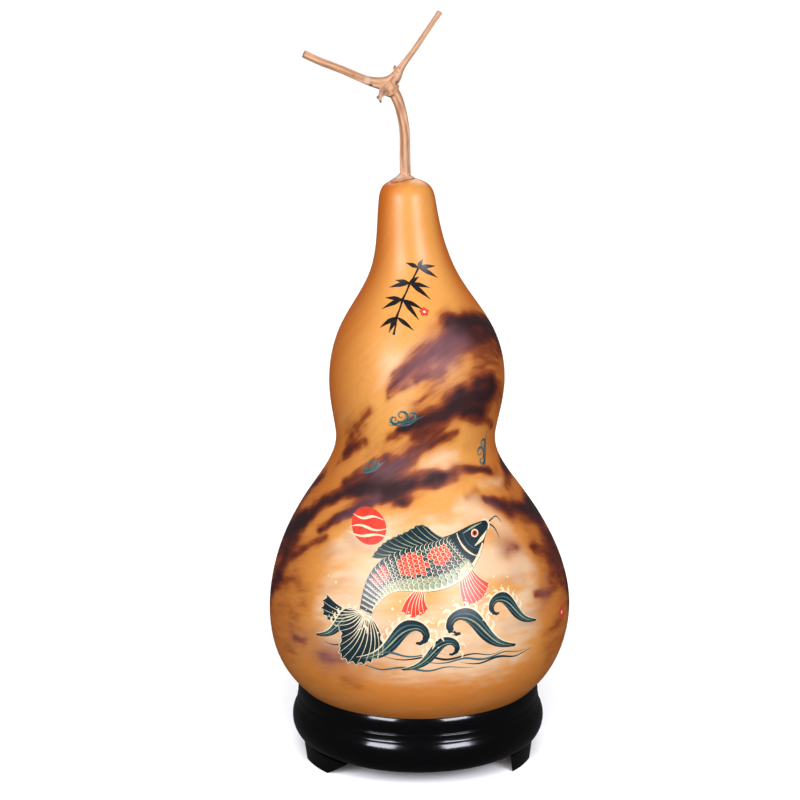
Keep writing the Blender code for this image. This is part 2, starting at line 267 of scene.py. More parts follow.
def add_node(tree: Tree, kind: str, inputs: dict | None = None, **settings: object) -> bpy.types.Node:
    """Adds a shader node with its settings, its values and its links.

    Args:
        tree: the node tree.
        kind: the node's type, such as "ShaderNodeMath".
        inputs: for each socket, by name or number, a value or another node's output socket.
        settings: attributes of the node. ramp is a list of (place, colour) for a colour ramp.

    Returns:
        The node.
    """
    node = tree.nodes.new(kind)
    ramp = settings.pop("ramp", None)
    for key, value in settings.items():
        setattr(node, key, value)
    if ramp:
        elements = node.color_ramp.elements
        while len(elements) < len(ramp):
            elements.new(0.5)
        for element, (place, colour) in zip(elements, ramp, strict=True):
            element.position = place
            element.color = colour
    for socket, value in (inputs or {}).items():
        if isinstance(value, Socket):
            tree.links.new(value, node.inputs[socket])
        else:
            node.inputs[socket].default_value = value
    return node


def new_material(name: str, **values: float | tuple) -> tuple[bpy.types.Material, Tree, bpy.types.Node]:
    """Makes a material and sets values on its Principled BSDF.

    Args:
        name: the material's name.
        values: for each socket, with a low line for a space in its name, the value that it gets.

    Returns:
        The material, its node tree and its Principled BSDF.
    """
    material = bpy.data.materials.new(name)
    material.use_nodes = True
    shader = material.node_tree.nodes["Principled BSDF"]
    for socket, value in values.items():
        shader.inputs[socket.replace("_", " ")].default_value = value
    return material, material.node_tree, shader


@dataclass(frozen=True)
class Grain:
    """A noise pattern: the width of its lumps in metres, its finer layers and how strong they are."""

    wave: float
    layers: float = 3.0
    finer_share: float = 0.5

    def on(self, vector: Socket) -> dict:
        """Gives the values of a noise texture that has this grain on a vector."""
        values = {"Scale": 1 / self.wave, "Detail": self.layers, "Roughness": self.finer_share}
        return {"Vector": vector} | values


@dataclass(frozen=True)
class Band:
    """How a pattern turns into a share: from start to end as it goes from low to high, held outside."""

    low: float
    high: float
    start: float
    end: float

    def on(self, value: Socket) -> dict:
        """Gives the values of a range node that turns a pattern into the share."""
        ends = {"From Min": self.low, "From Max": self.high, "To Min": self.start, "To Max": self.end}
        return {"Value": value} | ends


def lay_colours(tree: Tree, base: str, coats: Sequence[tuple[tuple | Socket, Socket]]) -> Socket:
    """Lays colours over a base in their order, each by its own share of cover.

    Args:
        tree: the node tree.
        base: the lowest colour, in sRGB hex.
        coats: the colour and the share of each coat.

    Returns:
        The colour that shows.
    """
    colour = linear(base)
    for over, share in coats:
        mix = add_node(tree, "ShaderNodeMix", {0: share, 6: colour, 7: over}, data_type="RGBA")
        colour = mix.outputs[2]
    return colour


def uneven(tree: Tree, density: Socket, noise: Socket, amount: float) -> Socket:
    """Breaks up a density d by a noise n: d + 8 * amount * (n - 0.5) * d * (1.15 - d), held to 0 and 1.

    Args:
        tree: the node tree.
        density: the even density.
        noise: the noise, which is 0.5 on average.
        amount: how strongly it breaks up the density.

    Returns:
        The uneven density.
    """
    wander = add_node(tree, "ShaderNodeMath", {0: noise, 1: 0.5}, operation="SUBTRACT").outputs[0]
    rest = add_node(tree, "ShaderNodeMath", {0: 1.15, 1: density}, operation="SUBTRACT").outputs[0]
    room = add_node(tree, "ShaderNodeMath", {0: density, 1: rest}, operation="MULTIPLY").outputs[0]
    swing = add_node(tree, "ShaderNodeMath", {0: wander, 1: room}, operation="MULTIPLY").outputs[0]
    values = {0: swing, 1: 8 * amount, 2: density}
    return add_node(tree, "ShaderNodeMath", values, operation="MULTIPLY_ADD", use_clamp=True).outputs[0]


@dataclass(frozen=True)
class VarnishedRind:
    """Bottle-gourd rind, dried, scorched with a flame, airbrushed and varnished.

    The eye sees a warm honey colour under a satin coat, with burns that go from orange brown through
    red brown to nearly black, and dull the varnish a little. The fibres stand upright and are a few
    tenths of a millimetre wide on the real rind. They are drawn at 1.6 mm, so that they show.
    """

    honey: str = "f2ab54"
    amber: str = "e68f34"
    straw: str = "f5b666"
    # Darker honey, laid on as painted shade at the sides, low down and on the neck.
    shade_honey: str = "dc701c"
    brown_streak: str = "c4732c"
    pale_streak: str = "f8c27c"
    cream: str = "f8d0a2"
    # Purple grey of a haze that is partly airbrushed and partly a painted sheen of the varnish over the
    # burns.
    smoke_and_sheen: str = "845a62"
    char: Sequence[tuple[float, str]] = (
        (0.0, "d98c3e"),
        (0.22, "c2702c"),
        (0.42, "9a4a1c"),
        (0.6, "6c2b16"),
        (0.78, "441712"),
        (0.95, "2c0d0c"),
    )
    mottle: Grain = Grain(0.05)
    fibre: Grain = Grain(0.0016, 2.0)
    streak: Grain = Grain(0.011)
    fine_streak: Grain = Grain(0.0033, 3.0, 0.55)
    dimple: Grain = Grain(0.007)
    fibre_draw: float = 0.12
    varnish_ior: float = 1.46
    burnt_roughness: float = 0.34

    def make(self) -> bpy.types.Material:
        """Mixes the rind's colour, airbrushed cream, haze with painted sheen, painted shade and the burns.

        Returns:
            The finish.
        """
        material, tree, shader = new_material("varnished_gourd_rind", IOR=self.varnish_ior)
        place = add_node(tree, "ShaderNodeTexCoord").outputs["Object"]
        flow = add_node(tree, "ShaderNodeAttribute", attribute_name="flow").outputs["Vector"]
        drawn = {"Vector": place, "Scale": (1.0, 1.0, self.fibre_draw)}
        upright = add_node(tree, "ShaderNodeMapping", drawn, vector_type="POINT").outputs["Vector"]
        height = add_node(tree, "ShaderNodeSeparateXYZ", {"Vector": place}).outputs["Z"]
        mottle, fibre, streak, fine_streak, dimple = (
            add_node(tree, "ShaderNodeTexNoise", grain.on(vector)).outputs["Fac"]
            for grain, vector in (
                (self.mottle, place),
                (self.fibre, upright),
                (self.streak, flow),
                (self.fine_streak, flow),
                (self.dimple, place),
            )
        )
        scorch, cream, smoke_and_sheen, painted_shade = (
            add_node(tree, "ShaderNodeAttribute", attribute_name=name).outputs["Fac"]
            for name in ("scorch", "cream", "smoke_and_sheen", "painted_shade")
        )
        pale = uneven(tree, uneven(tree, cream, streak, 0.6), fine_streak, 0.35)
        burn = uneven(tree, uneven(tree, scorch, streak, 0.3), fine_streak, 0.16)
        haze_and_sheen = uneven(tree, smoke_and_sheen, streak, 0.5)
        patches, fibres, dark_marks, pale_marks, calm, creamed, burnt, haze_and_sheen_cover, gloss = (
            add_node(tree, "ShaderNodeMapRange", band.on(value)).outputs["Result"]
            for value, band in (
                (mottle, Band(0.35, 0.75, 0.0, 0.6)),
                (fibre, Band(0.45, 0.8, 0.0, 0.25)),
                (fine_streak, Band(0.5, 0.85, 0.0, 0.45)),
                (streak, Band(0.5, 0.2, 0.0, 0.2)),
                (height, Band(0.25, 0.31, 1.0, 0.3)),
                (pale, Band(0.15, 0.8, 0.0, 0.9)),
                (burn, Band(0.0, 0.4, 0.0, 1.0)),
                (haze_and_sheen, Band(0.05, 1.0, 0.0, 0.75)),
                (mottle, Band(0.3, 0.7, 0.35, 0.42)),
            )
        )
        # The flame's streaks calm down towards the neck, which it hardly touched.
        dark_marks, pale_marks = (
            add_node(tree, "ShaderNodeMath", {0: marks, 1: calm}, operation="MULTIPLY").outputs[0]
            for marks in (dark_marks, pale_marks)
        )
        ramp = [(density, linear(colour)) for density, colour in self.char]
        char = add_node(tree, "ShaderNodeValToRGB", {"Fac": burn}, ramp=ramp).outputs["Color"]
        coats = (
            (linear(self.amber), patches),
            (linear(self.straw), fibres),
            # Painted shade: the darker honey at the sides, low down and on the neck.
            (linear(self.shade_honey), painted_shade),
            (linear(self.brown_streak), dark_marks),
            (linear(self.pale_streak), pale_marks),
            (linear(self.cream), creamed),
            (char, burnt),
            # Partly airbrushed haze, partly a painted sheen over the burns.
            (linear(self.smoke_and_sheen), haze_and_sheen_cover),
        )
        tree.links.new(lay_colours(tree, self.honey, coats), shader.inputs["Base Color"])
        dulled = {0: burn, 1: self.burnt_roughness, 2: gloss}
        roughness = add_node(tree, "ShaderNodeMath", dulled, operation="MULTIPLY_ADD").outputs[0]
        tree.links.new(roughness, shader.inputs["Roughness"])
        values = {"Height": dimple, "Strength": 0.16, "Distance": 0.0006}
        dimpled = add_node(tree, "ShaderNodeBump", values).outputs["Normal"]
        values = {"Height": fibre, "Strength": 0.08, "Distance": 0.0002, "Normal": dimpled}
        tree.links.new(add_node(tree, "ShaderNodeBump", values).outputs["Normal"], shader.inputs["Normal"])
        return material


@dataclass(frozen=True)
class DryVine:
    """Dried gourd vine, unfinished and matt: pale pinkish straw with darker furrows between its fibres."""

    straw: str = "dfab80"
    pale_straw: str = "ecc7a2"
    furrow: str = "8f5836"
    stain: str = "5b3a2a"
    bleached: str = "ecd9c4"
    fibre: Grain = Grain(0.0012, 3.0, 0.6)
    patch: Grain = Grain(0.006, 2.0)

    def make(self) -> bpy.types.Material:
        """Mixes straw and furrow colours by fibres that follow the stem.

        Returns:
            The finish.
        """
        material, tree, shader = new_material("dry_vine_wood", Roughness=0.7, IOR=1.45)
        grain = add_node(tree, "ShaderNodeAttribute", attribute_name="grain").outputs["Vector"]
        furrow_shade, stain, pale = (
            add_node(tree, "ShaderNodeAttribute", attribute_name=name).outputs["Fac"]
            for name in ("furrow_shade", "stain", "pale")
        )
        fibre, patch = (
            add_node(tree, "ShaderNodeTexNoise", pattern.on(grain)).outputs["Fac"]
            for pattern in (self.fibre, self.patch)
        )
        furrows, patches = (
            add_node(tree, "ShaderNodeMapRange", band.on(value)).outputs["Result"]
            for value, band in ((fibre, Band(0.4, 0.75, 0.0, 0.75)), (patch, Band(0.5, 0.8, 0.0, 0.6)))
        )
        coats = (
            (linear(self.furrow), furrows),
            (linear(self.pale_straw), patches),
            # Painted shade in the furrows between the ribs, where a point lies inside the limb's round.
            (linear(self.furrow), uneven(tree, furrow_shade, fibre, 0.5)),
            (linear(self.stain), stain),
            (linear(self.bleached), pale),
        )
        tree.links.new(lay_colours(tree, self.straw, coats), shader.inputs["Base Color"])
        values = {"Height": fibre, "Strength": 0.3, "Distance": 0.0003}
        tree.links.new(add_node(tree, "ShaderNodeBump", values).outputs["Normal"], shader.inputs["Normal"])
        return material


@dataclass(frozen=True)
class BlackLacquer:
    """Turned hardwood under black gloss lacquer: sharp reflections with a faint waviness."""

    black: str = "040405"
    cloud: Grain = Grain(0.02)
    brush_mark: Grain = Grain(0.0035, 2.0)

    def make(self) -> bpy.types.Material:
        """Makes a black base whose gloss and surface waver a little.

        Returns:
            The finish.
        """
        material, tree, shader = new_material("black_gloss_lacquer", Base_Color=linear(self.black), IOR=1.5)
        place = add_node(tree, "ShaderNodeTexCoord").outputs["Object"]
        cloud, mark = (
            add_node(tree, "ShaderNodeTexNoise", grain.on(place)).outputs["Fac"]
            for grain in (self.cloud, self.brush_mark)
        )
        gloss = add_node(tree, "ShaderNodeMapRange", Band(0.3, 0.7, 0.11, 0.17).on(cloud)).outputs["Result"]
        tree.links.new(gloss, shader.inputs["Roughness"])
        values = {"Height": mark, "Strength": 0.06, "Distance": 0.0003}
        tree.links.new(add_node(tree, "ShaderNodeBump", values).outputs["Normal"], shader.inputs["Normal"])
        return material


@dataclass(frozen=True)
class SoftStroke:
    """One pass of the flame or the airbrush over the rind.

    places are (azimuth in degrees, height in mm), and spreads are the half widths there in mm.
    """

    places: Path
    spreads: Sequence[float]
    strength: float = 1.0


@dataclass
class Gourd:
    """The bottle gourd: its form, its scorching and its varnished surface."""

    outline: Path = (
        (0.0, 0.0230),
        (0.0460, 0.0300),
        (0.0794, 0.0500),
        (0.0880, 0.0600),
        (0.0935, 0.0700),
        (0.0995, 0.0975),
        (0.0890, 0.1460),
        (0.0695, 0.1795),
        (0.0520, 0.2170),
        (0.0530, 0.2240),
        (0.0570, 0.2510),
        (0.0500, 0.2865),
        (0.0280, 0.3240),
        (0.0200, 0.3560),
        (0.0182, 0.3700),
        (0.0153, 0.3790),
        (0.0095, 0.3828),
        (0.0, 0.3845),
    )
    lean: Path = (
        (0.060, 0.0),
        (0.100, 0.0010),
        (0.150, -0.0005),
        (0.205, -0.0020),
        (0.255, -0.0010),
        (0.300, -0.0020),
        (0.330, -0.0040),
        (0.355, -0.0065),
        (0.400, -0.0080),
    )
    oval: float = 0.008
    three_sided: float = 0.005
    uneven_from: Pair = (0.060, 0.100)
    uneven_to: Pair = (0.350, 0.375)
    scar_x: float = -0.0088
    scar_radius: float = 0.0055
    scar_depth: float = 0.0020
    scar_edge: Pair = (0.95, 1.1)
    scar_reach_down: float = 0.004
    body_rows: int = 230
    crown_rows: int = 24
    columns: int = 320
    crown_start: float = 0.975
    flow_low: Pair = (0.020, math.radians(70))
    flow_high: Pair = (0.060, math.radians(45))
    flow_heights: Pair = (0.130, 0.270)
    streak_stretch: float = 4.0
    bends: Path = ((0.0016, 0.030), (0.0008, 0.011))
    fall_rate: float = 0.65
    fall_power: float = 1.7
    stroke_steps: int = 24
    # Painted shade: the honey darkens away from the front, less again at the back, low down and on the neck.
    side_shade: float = 0.95
    side_shade_azimuths: Pair = (25.0, 85.0)
    back_relief: float = 0.45
    back_relief_azimuths: Pair = (95.0, 150.0)
    low_shade: float = 0.6
    low_shade_heights: Pair = (0.060, 0.125)
    neck_shade: float = 0.22
    neck_shade_heights: Pair = (0.312, 0.345)
    most_shade: float = 0.9
    scorches: Sequence[SoftStroke] = (
        SoftStroke(((86, 275), (74, 275), (58, 274), (44, 275)), (9, 11, 11, 7), 0.4),
        SoftStroke(((82, 242), (72, 245), (63, 249), (54, 256)), (7, 9, 9, 7), 0.36),
        SoftStroke(
            ((92, 286), (76, 290), (64, 294), (52, 297), (40, 299), (30, 298)),
            (6, 6, 6, 5.5, 5, 4),
            1.0,
        ),
        SoftStroke(((66, 286), (56, 287), (46, 291), (36, 293)), (4, 4, 5, 4), 0.75),
        SoftStroke(
            ((32, 290), (22, 286), (12, 281), (2, 275), (-8, 268), (-15, 261), (-18, 255)),
            (9, 9, 8, 6.5, 5, 4, 2),
            0.72,
        ),
        SoftStroke(((30, 273), (22, 270), (12, 267), (0, 264)), (3, 3, 3, 2), 0.45),
        SoftStroke(((16, 262), (6, 256), (-3, 249)), (4, 4, 3), 0.32),
        SoftStroke(((22, 250), (30, 252), (38, 253), (46, 253), (52, 252)), (4, 6, 7, 7, 4.5), 1.0),
        SoftStroke(((42, 261), (48, 261), (54, 258)), (3.5, 4, 4), 0.7),
        SoftStroke(((33, 242), (42, 241), (49, 241)), (3.5, 4.5, 4), 0.85),
        SoftStroke(
            ((28, 249), (20, 245), (11, 241), (2, 237), (-6, 234), (-13, 231)),
            (5.5, 5.5, 5, 4.5, 3.5, 1.5),
            0.9,
        ),
        SoftStroke(((-10, 232), (-16, 228), (-22, 223)), (3, 3, 2), 0.4),
        SoftStroke(((50, 238), (58, 232), (66, 226)), (5, 4, 4), 0.42),
        SoftStroke(((16, 231), (8, 229), (-2, 228)), (4, 4, 3), 0.55),
        SoftStroke(
            ((26, 228), (16, 225), (7, 221), (-2, 216), (-10, 211), (-18, 208), (-28, 204)),
            (2.5, 3.5, 4.5, 5, 5, 5, 5),
            0.68,
        ),
        SoftStroke(((-20, 207), (-30, 203), (-40, 199), (-49, 194)), (5, 5, 4, 3), 0.62),
        SoftStroke(((-12, 226), (-20, 223), (-30, 220), (-42, 215)), (2, 2, 2.5, 2), 0.2),
        SoftStroke(
            ((-32, 247), (-37, 240), (-43, 233), (-48, 226), (-53, 218), (-61, 211)),
            (2.5, 3.5, 4.5, 6, 5.5, 4),
            0.48,
        ),
        SoftStroke(
            ((-38, 222), (-47, 217), (-55, 211), (-63, 204), (-72, 196), (-84, 186)),
            (3, 4, 4.5, 4, 3, 3),
            0.36,
        ),
        SoftStroke(
            ((58, 200), (46, 202), (34, 203), (24, 202.5), (12, 200.5)),
            (2, 2.5, 3.5, 3.5, 3),
            0.82,
        ),
        SoftStroke(((66, 199), (56, 199), (50, 200)), (4, 3, 2), 0.35),
        SoftStroke(
            ((14, 200), (2, 199), (-8, 196.5), (-18, 194.5), (-28, 194), (-36, 192)),
            (3, 4.5, 6.5, 6.5, 5, 4),
            1.0,
        ),
        SoftStroke(
            ((-34, 193), (-44, 190), (-52, 185.5), (-60, 179), (-67, 171), (-73, 162)),
            (3.5, 4, 4, 4.5, 5.5, 7),
            1.0,
        ),
        SoftStroke(((-73, 162), (-74, 148), (-74, 136), (-78, 124), (-86, 112)), (7, 8, 8, 8, 8), 0.68),
        SoftStroke(((-90, 175), (-86, 160), (-84, 140)), (10, 10, 10), 0.5),
        SoftStroke(
            ((-7, 190), (-18, 188.5), (-28, 185), (-37, 179.5), (-45, 173), (-52, 167)),
            (3, 3.5, 4, 4.5, 3.5, 3),
            0.88,
        ),
        SoftStroke(((-48, 161), (-56, 154), (-63, 147), (-70, 138)), (3, 4, 5, 6), 0.45),
        SoftStroke(((-50, 128), (-57, 133), (-62, 126)), (5, 6, 6), 0.25),
        SoftStroke(((-50, 121), (-57, 114)), (5, 6), 0.22),
        SoftStroke(((-54, 98), (-48, 97)), (4, 4), 0.3),
        SoftStroke(((-37, 90), (-30, 93)), (6, 5), 0.3),
        SoftStroke(((-29, 76), (-24, 76)), (4, 4), 0.28),
        SoftStroke(((90, 197), (78, 191), (68, 187)), (7, 5, 4), 0.6),
        SoftStroke(
            ((44, 183), (50, 180), (57, 177), (66, 173), (75, 170), (88, 168)),
            (3, 4, 5, 6, 7, 8),
            0.9,
        ),
        SoftStroke(((44, 158), (49, 157)), (5, 4), 0.42),
        SoftStroke(((62, 151), (70, 147), (82, 144)), (4, 5, 8), 0.62),
        SoftStroke(((51, 126), (60, 127), (72, 126)), (3, 5, 6), 0.38),
        SoftStroke(((84, 160), (86, 135), (84, 110)), (8, 9, 9), 0.6),
        SoftStroke(((54, 97), (63, 99), (72, 105)), (5, 6, 6), 0.32),
        SoftStroke(((-90, 200), (-92, 190)), (6, 8), 0.2),
        SoftStroke(((40, 189), (30, 190)), (2.5, 2), 0.3),
        SoftStroke(((70, 136), (78, 130)), (6, 8), 0.4),
        SoftStroke(((64, 163), (70, 148), (76, 130)), (12, 14, 14), 0.22),
        SoftStroke(((-66, 140), (-72, 122)), (12, 12), 0.18),
        SoftStroke(((-84, 100), (-70, 92), (-58, 84)), (12, 11, 9), 0.25),
        SoftStroke(((84, 98), (72, 88), (60, 80)), (12, 11, 9), 0.25),
        SoftStroke(((-64, 108), (-58, 104), (-52, 108)), (6, 7, 5), 0.22),
        SoftStroke(((-92, 262), (-98, 240), (-94, 222)), (9, 10, 8), 0.25),
        SoftStroke(((84, 288), (100, 284), (118, 276), (134, 266)), (6, 6, 5, 4), 0.85),
        SoftStroke(((86, 275), (104, 268), (120, 258)), (9, 8, 6), 0.35),
        SoftStroke(((86, 168), (102, 163), (118, 160), (134, 162), (150, 166)), (8, 8, 6, 3.5, 1.5), 0.8),
        SoftStroke(((88, 195), (108, 192), (126, 196)), (6, 7, 5), 0.6),
        SoftStroke(
            ((-76, 160), (-94, 148), (-110, 142), (-126, 140), (-142, 142)),
            (7, 8, 6, 3.5, 1.5),
            0.75,
        ),
        SoftStroke(((-82, 188), (-100, 176), (-116, 170), (-130, 168)), (6, 7, 4, 1.5), 0.5),
        SoftStroke(((-96, 204), (-104, 199), (-112, 196), (-124, 195)), (4, 6, 4, 2), 0.35),
        SoftStroke(
            ((124, 196), (146, 203), (166, 209), (186, 212), (206, 207), (226, 198), (246, 184)),
            (5, 6, 7, 7, 6, 6, 5),
            0.8,
        ),
        SoftStroke(((140, 216), (160, 223), (182, 227), (204, 221)), (3, 4, 4, 3), 0.5),
        SoftStroke(((134, 266), (152, 258), (170, 254), (190, 256), (206, 262)), (4, 5, 6, 5, 3), 0.65),
        SoftStroke(((150, 150), (170, 144), (192, 144), (212, 150)), (6, 8, 8, 6), 0.35),
    )
    creams_and_highlight: Sequence[SoftStroke] = (
        SoftStroke(((-34, 148), (-18, 152), (0, 153), (24, 153), (42, 150)), (10, 15, 18, 15, 10), 0.75),
        SoftStroke(((-34, 126), (-18, 120), (0, 112), (22, 110), (42, 120)), (9, 13, 14, 13, 9), 0.75),
        SoftStroke(((-34, 158), (-20, 157), (-8, 160)), (5, 7, 6), 0.6),
        SoftStroke(((28, 184), (40, 176), (48, 168)), (6, 9, 8), 0.75),
        SoftStroke(((-34, 106), (-14, 97), (8, 92), (32, 96), (44, 104)), (9, 11, 12, 11, 9), 0.75),
        SoftStroke(((-26, 170), (-14, 172), (4, 172), (22, 172)), (6, 7, 8, 8), 0.65),
        SoftStroke(((36, 152), (47, 144), (50, 132)), (7, 9, 7), 0.6),
        SoftStroke(((44, 195), (56, 193), (66, 190)), (3, 4, 3), 0.6),
        SoftStroke(((6, 211), (18, 213), (30, 211)), (5, 6, 4), 0.6),
        # A painted highlight in cream: the broad pale sheen of the left light on the upper bulb.
        SoftStroke(((-4, 280), (-12, 262)), (20, 18), 0.3),
    )
    # Purple-grey strokes: partly airbrushed haze, partly a painted sheen where the lights reflect over the
    # burns.
    smokes_and_sheens: Sequence[SoftStroke] = (
        SoftStroke(((28, 289), (18, 284), (8, 278), (-2, 272), (-12, 264)), (8, 9, 8, 6, 4), 0.65),
        SoftStroke(((22, 272), (12, 268)), (6, 5), 0.5),
        SoftStroke(((6, 221), (-6, 214), (-16, 208), (-28, 204)), (4, 6, 5, 4), 0.5),
        SoftStroke(((-24, 187), (-34, 181), (-42, 175)), (4, 5, 4), 0.5),
        SoftStroke(((-34, 166), (-24, 162), (-14, 160)), (3, 4, 2), 0.3),
        SoftStroke(((-34, 96), (-24, 101), (-14, 107), (-4, 112)), (8, 8, 7, 5), 0.6),
        SoftStroke(((30, 187), (40, 184), (48, 180)), (3, 4, 4), 0.5),
        SoftStroke(((44, 159), (49, 156)), (6, 5), 0.45),
        SoftStroke(((36, 139), (45, 139)), (4, 4), 0.35),
        SoftStroke(((34, 113), (42, 112)), (6, 5), 0.3),
        SoftStroke(((-38, 85), (-24, 89), (-10, 93)), (6, 6, 4), 0.45),
        SoftStroke(((-24, 124), (-12, 127), (0, 127)), (2, 3, 2), 0.3),
        SoftStroke(((10, 103), (24, 104)), (3, 3), 0.25),
        SoftStroke(((-40, 134), (-32, 139), (-22, 142)), (3, 3, 2), 0.25),
        SoftStroke(((36, 168), (42, 160)), (4, 4), 0.3),
        SoftStroke(((-56, 96), (-46, 100), (-38, 108)), (8, 8, 5), 0.32),
        SoftStroke(((46, 112), (54, 120), (60, 130)), (7, 8, 7), 0.34),
        SoftStroke(((-42, 152), (-34, 157)), (4, 3), 0.3),
    )

    def __post_init__(self) -> None:
        """Works out the splines of the outline and the lean once."""
        self.outline_at, knots = path_spline(self.outline, ((1.0, 0.0), (-1.0, 0.0)))
        self.length = float(knots[-1])
        self.drift = spline([h for h, _ in self.lean], [x for _, x in self.lean], (0.0, 0.0))
        self.shares = np.linspace(0, 1, 4001)
        self.heights = self.curve(self.shares)[:, 1]

    def curve(self, along: np.ndarray) -> np.ndarray:
        """Radius and height of the outline at shares of its length, from the underside to the top."""
        return self.outline_at(np.asarray(along) * self.length)

    def share_at(self, height: np.ndarray) -> np.ndarray:
        """Share of the outline, from the underside to the top, at each height in metres."""
        return np.interp(height, self.heights, self.shares)

    def middle(self, height: np.ndarray) -> np.ndarray:
        """Sideways offset of the gourd's middle at each height."""
        return self.drift(np.clip(height, self.lean[0][0], self.lean[-1][0]))[..., 0]

    def surface(self, along: np.ndarray, azimuth: np.ndarray, lift: np.ndarray | float = 0.0) -> np.ndarray:
        """Gives places on the gourd.

        The outline turns round the leaning middle. Its radius swells by a share that three-sided and
        oval waves of the azimuth give between the uneven heights, and lift goes out square to the outline.

        Args:
            along: shares of the outline.
            azimuth: angles from the front, of the same shape.
            lift: height over the rind in metres.

        Returns:
            Places, on one more axis.
        """
        radius, height = np.moveaxis(self.curve(along), -1, 0)
        uneven_share = smooth_step(*self.uneven_from, height) - smooth_step(*self.uneven_to, height)
        swell = self.three_sided * np.cos(3 * azimuth) - self.oval * np.sin(2 * azimuth)
        step = 0.0005
        slope = self.curve(np.clip(along + step, 0, 1)) - self.curve(np.clip(along - step, 0, 1))
        out = unit(np.stack([slope[..., 1], -slope[..., 0]], axis=-1))
        spread = radius * (1 + uneven_share * swell) + lift * out[..., 0]
        x = spread * np.sin(azimuth) + self.middle(height)
        y = -spread * np.cos(azimuth)
        return np.stack([x, y, height + lift * out[..., 1]], axis=-1)

    def density(self, points: np.ndarray, strokes: Sequence[SoftStroke], seed: int) -> np.ndarray:
        """Adds up soft strokes as 1 - (1 - a)(1 - b)..., after bending the places by smooth noise.

        A stroke's own share is its strength times exp(-rate * d^power), where d is the distance to the
        nearest point of its path over the spread there.

        Args:
            points: places on the rind.
            strokes: the strokes.
            seed: number that the bends start from.

        Returns:
            A density from 0 to 1 for each place.
        """
        bend = [
            sum(
                size * soft_noise(points, wave, seed + 3 * k + i)
                for k, (size, wave) in enumerate(self.bends)
            )
            for i in range(3)
        ]
        moved = points + np.stack(bend, axis=-1)
        clear = np.ones(len(points))
        for stroke in strokes:
            curve, knots = path_spline(np.asarray(stroke.places, float))
            steps = np.linspace(0, knots[-1], self.stroke_steps)
            azimuth, height = np.moveaxis(curve(steps), -1, 0)
            spread = np.interp(steps, knots, stroke.spreads) * MM
            path = self.surface(self.share_at(height * MM), np.radians(azimuth))
            near = np.full(len(points), np.inf)
            for centre, reach in zip(path, spread, strict=True):
                near = np.minimum(near, np.linalg.norm(moved - centre, axis=1) / reach)
            clear *= 1 - stroke.strength * np.exp(-self.fall_rate * near**self.fall_power)
        return 1 - clear

    def flow(self, points: np.ndarray) -> np.ndarray:
        """Gives places in a frame that follows the flame's strokes.

        The strokes run at a constant z - rise * sin(azimuth + phase): they climb to the right on the left
        side and fall again on the right. The rise and phase go from flow_low to flow_high over the
        waist. The other two axes, x and y, are drawn out by streak_stretch.

        Args:
            points: places on the rind.

        Returns:
            The places in that frame.
        """
        share = smooth_step(*self.flow_heights, points[:, 2])
        rise = self.flow_low[0] + (self.flow_high[0] - self.flow_low[0]) * share
        phase = self.flow_low[1] + (self.flow_high[1] - self.flow_low[1]) * share
        across = points[:, 2] - rise * np.sin(np.arctan2(points[:, 0], -points[:, 1]) + phase)
        drawn = points[:, :2] / self.streak_stretch
        return np.concatenate([drawn, across[:, None]], axis=-1)

    def painted_shade(self, points: np.ndarray) -> np.ndarray:
        """Gives the painted shade that deepens the honey colour at the sides, low down and on the neck.

        Args:
            points: places on the rind.

        Returns:
            A share from 0 to the most for each place.
        """
        height = points[:, 2]
        from_front = np.abs(np.degrees(np.arctan2(points[:, 0], -points[:, 1])))
        side = self.side_shade * smooth_step(*self.side_shade_azimuths, from_front)
        side -= self.back_relief * smooth_step(*self.back_relief_azimuths, from_front)
        low = self.low_shade * (1 - smooth_step(*self.low_shade_heights, height))
        neck = self.neck_shade * smooth_step(*self.neck_shade_heights, height)
        return np.clip(np.maximum(side, low) + neck, 0, self.most_shade)

    def build(self) -> bpy.types.Object:
        """Makes the fine gourd with its colour densities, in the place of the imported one.

        Its rows are closer on the crown, where the neck rounds over, and the scar is pressed in there.

        Returns:
            The piece.
        """
        body = np.linspace(0, self.crown_start, self.body_rows + 1)[1:]
        crown = np.linspace(self.crown_start, 1, self.crown_rows + 1)[1:-1]
        turn = np.linspace(0, 2 * np.pi, self.columns, endpoint=False)
        along, azimuth = np.meshgrid(np.concatenate([body, crown]), turn, indexing="ij")
        points, faces = closed_tube(self.surface(along, azimuth))
        points[-2:] = self.surface(np.array([0.0, 1.0]), np.zeros(2))
        from_scar = np.hypot(points[:, 0] - self.scar_x, points[:, 1]) / self.scar_radius
        near_top = points[:, 2] > self.heights[-1] - self.scar_reach_down
        points[:, 2] -= near_top * self.scar_depth * (1 - smooth_step(*self.scar_edge, from_scar))
        piece = add_piece("painted_gourd", points, faces, [VarnishedRind().make()])
        for name, strokes, seed in (
            ("scorch", self.scorches, 11),
            ("cream", self.creams_and_highlight, 31),
            ("smoke_and_sheen", self.smokes_and_sheens, 51),
        ):
            set_attribute(piece, name, self.density(points, strokes, seed))
        # The painted shade is stored as its own share for each point.
        set_attribute(piece, "painted_shade", self.painted_shade(points))
        set_attribute(piece, "flow", self.flow(points))
        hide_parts("gourd")
        return piece


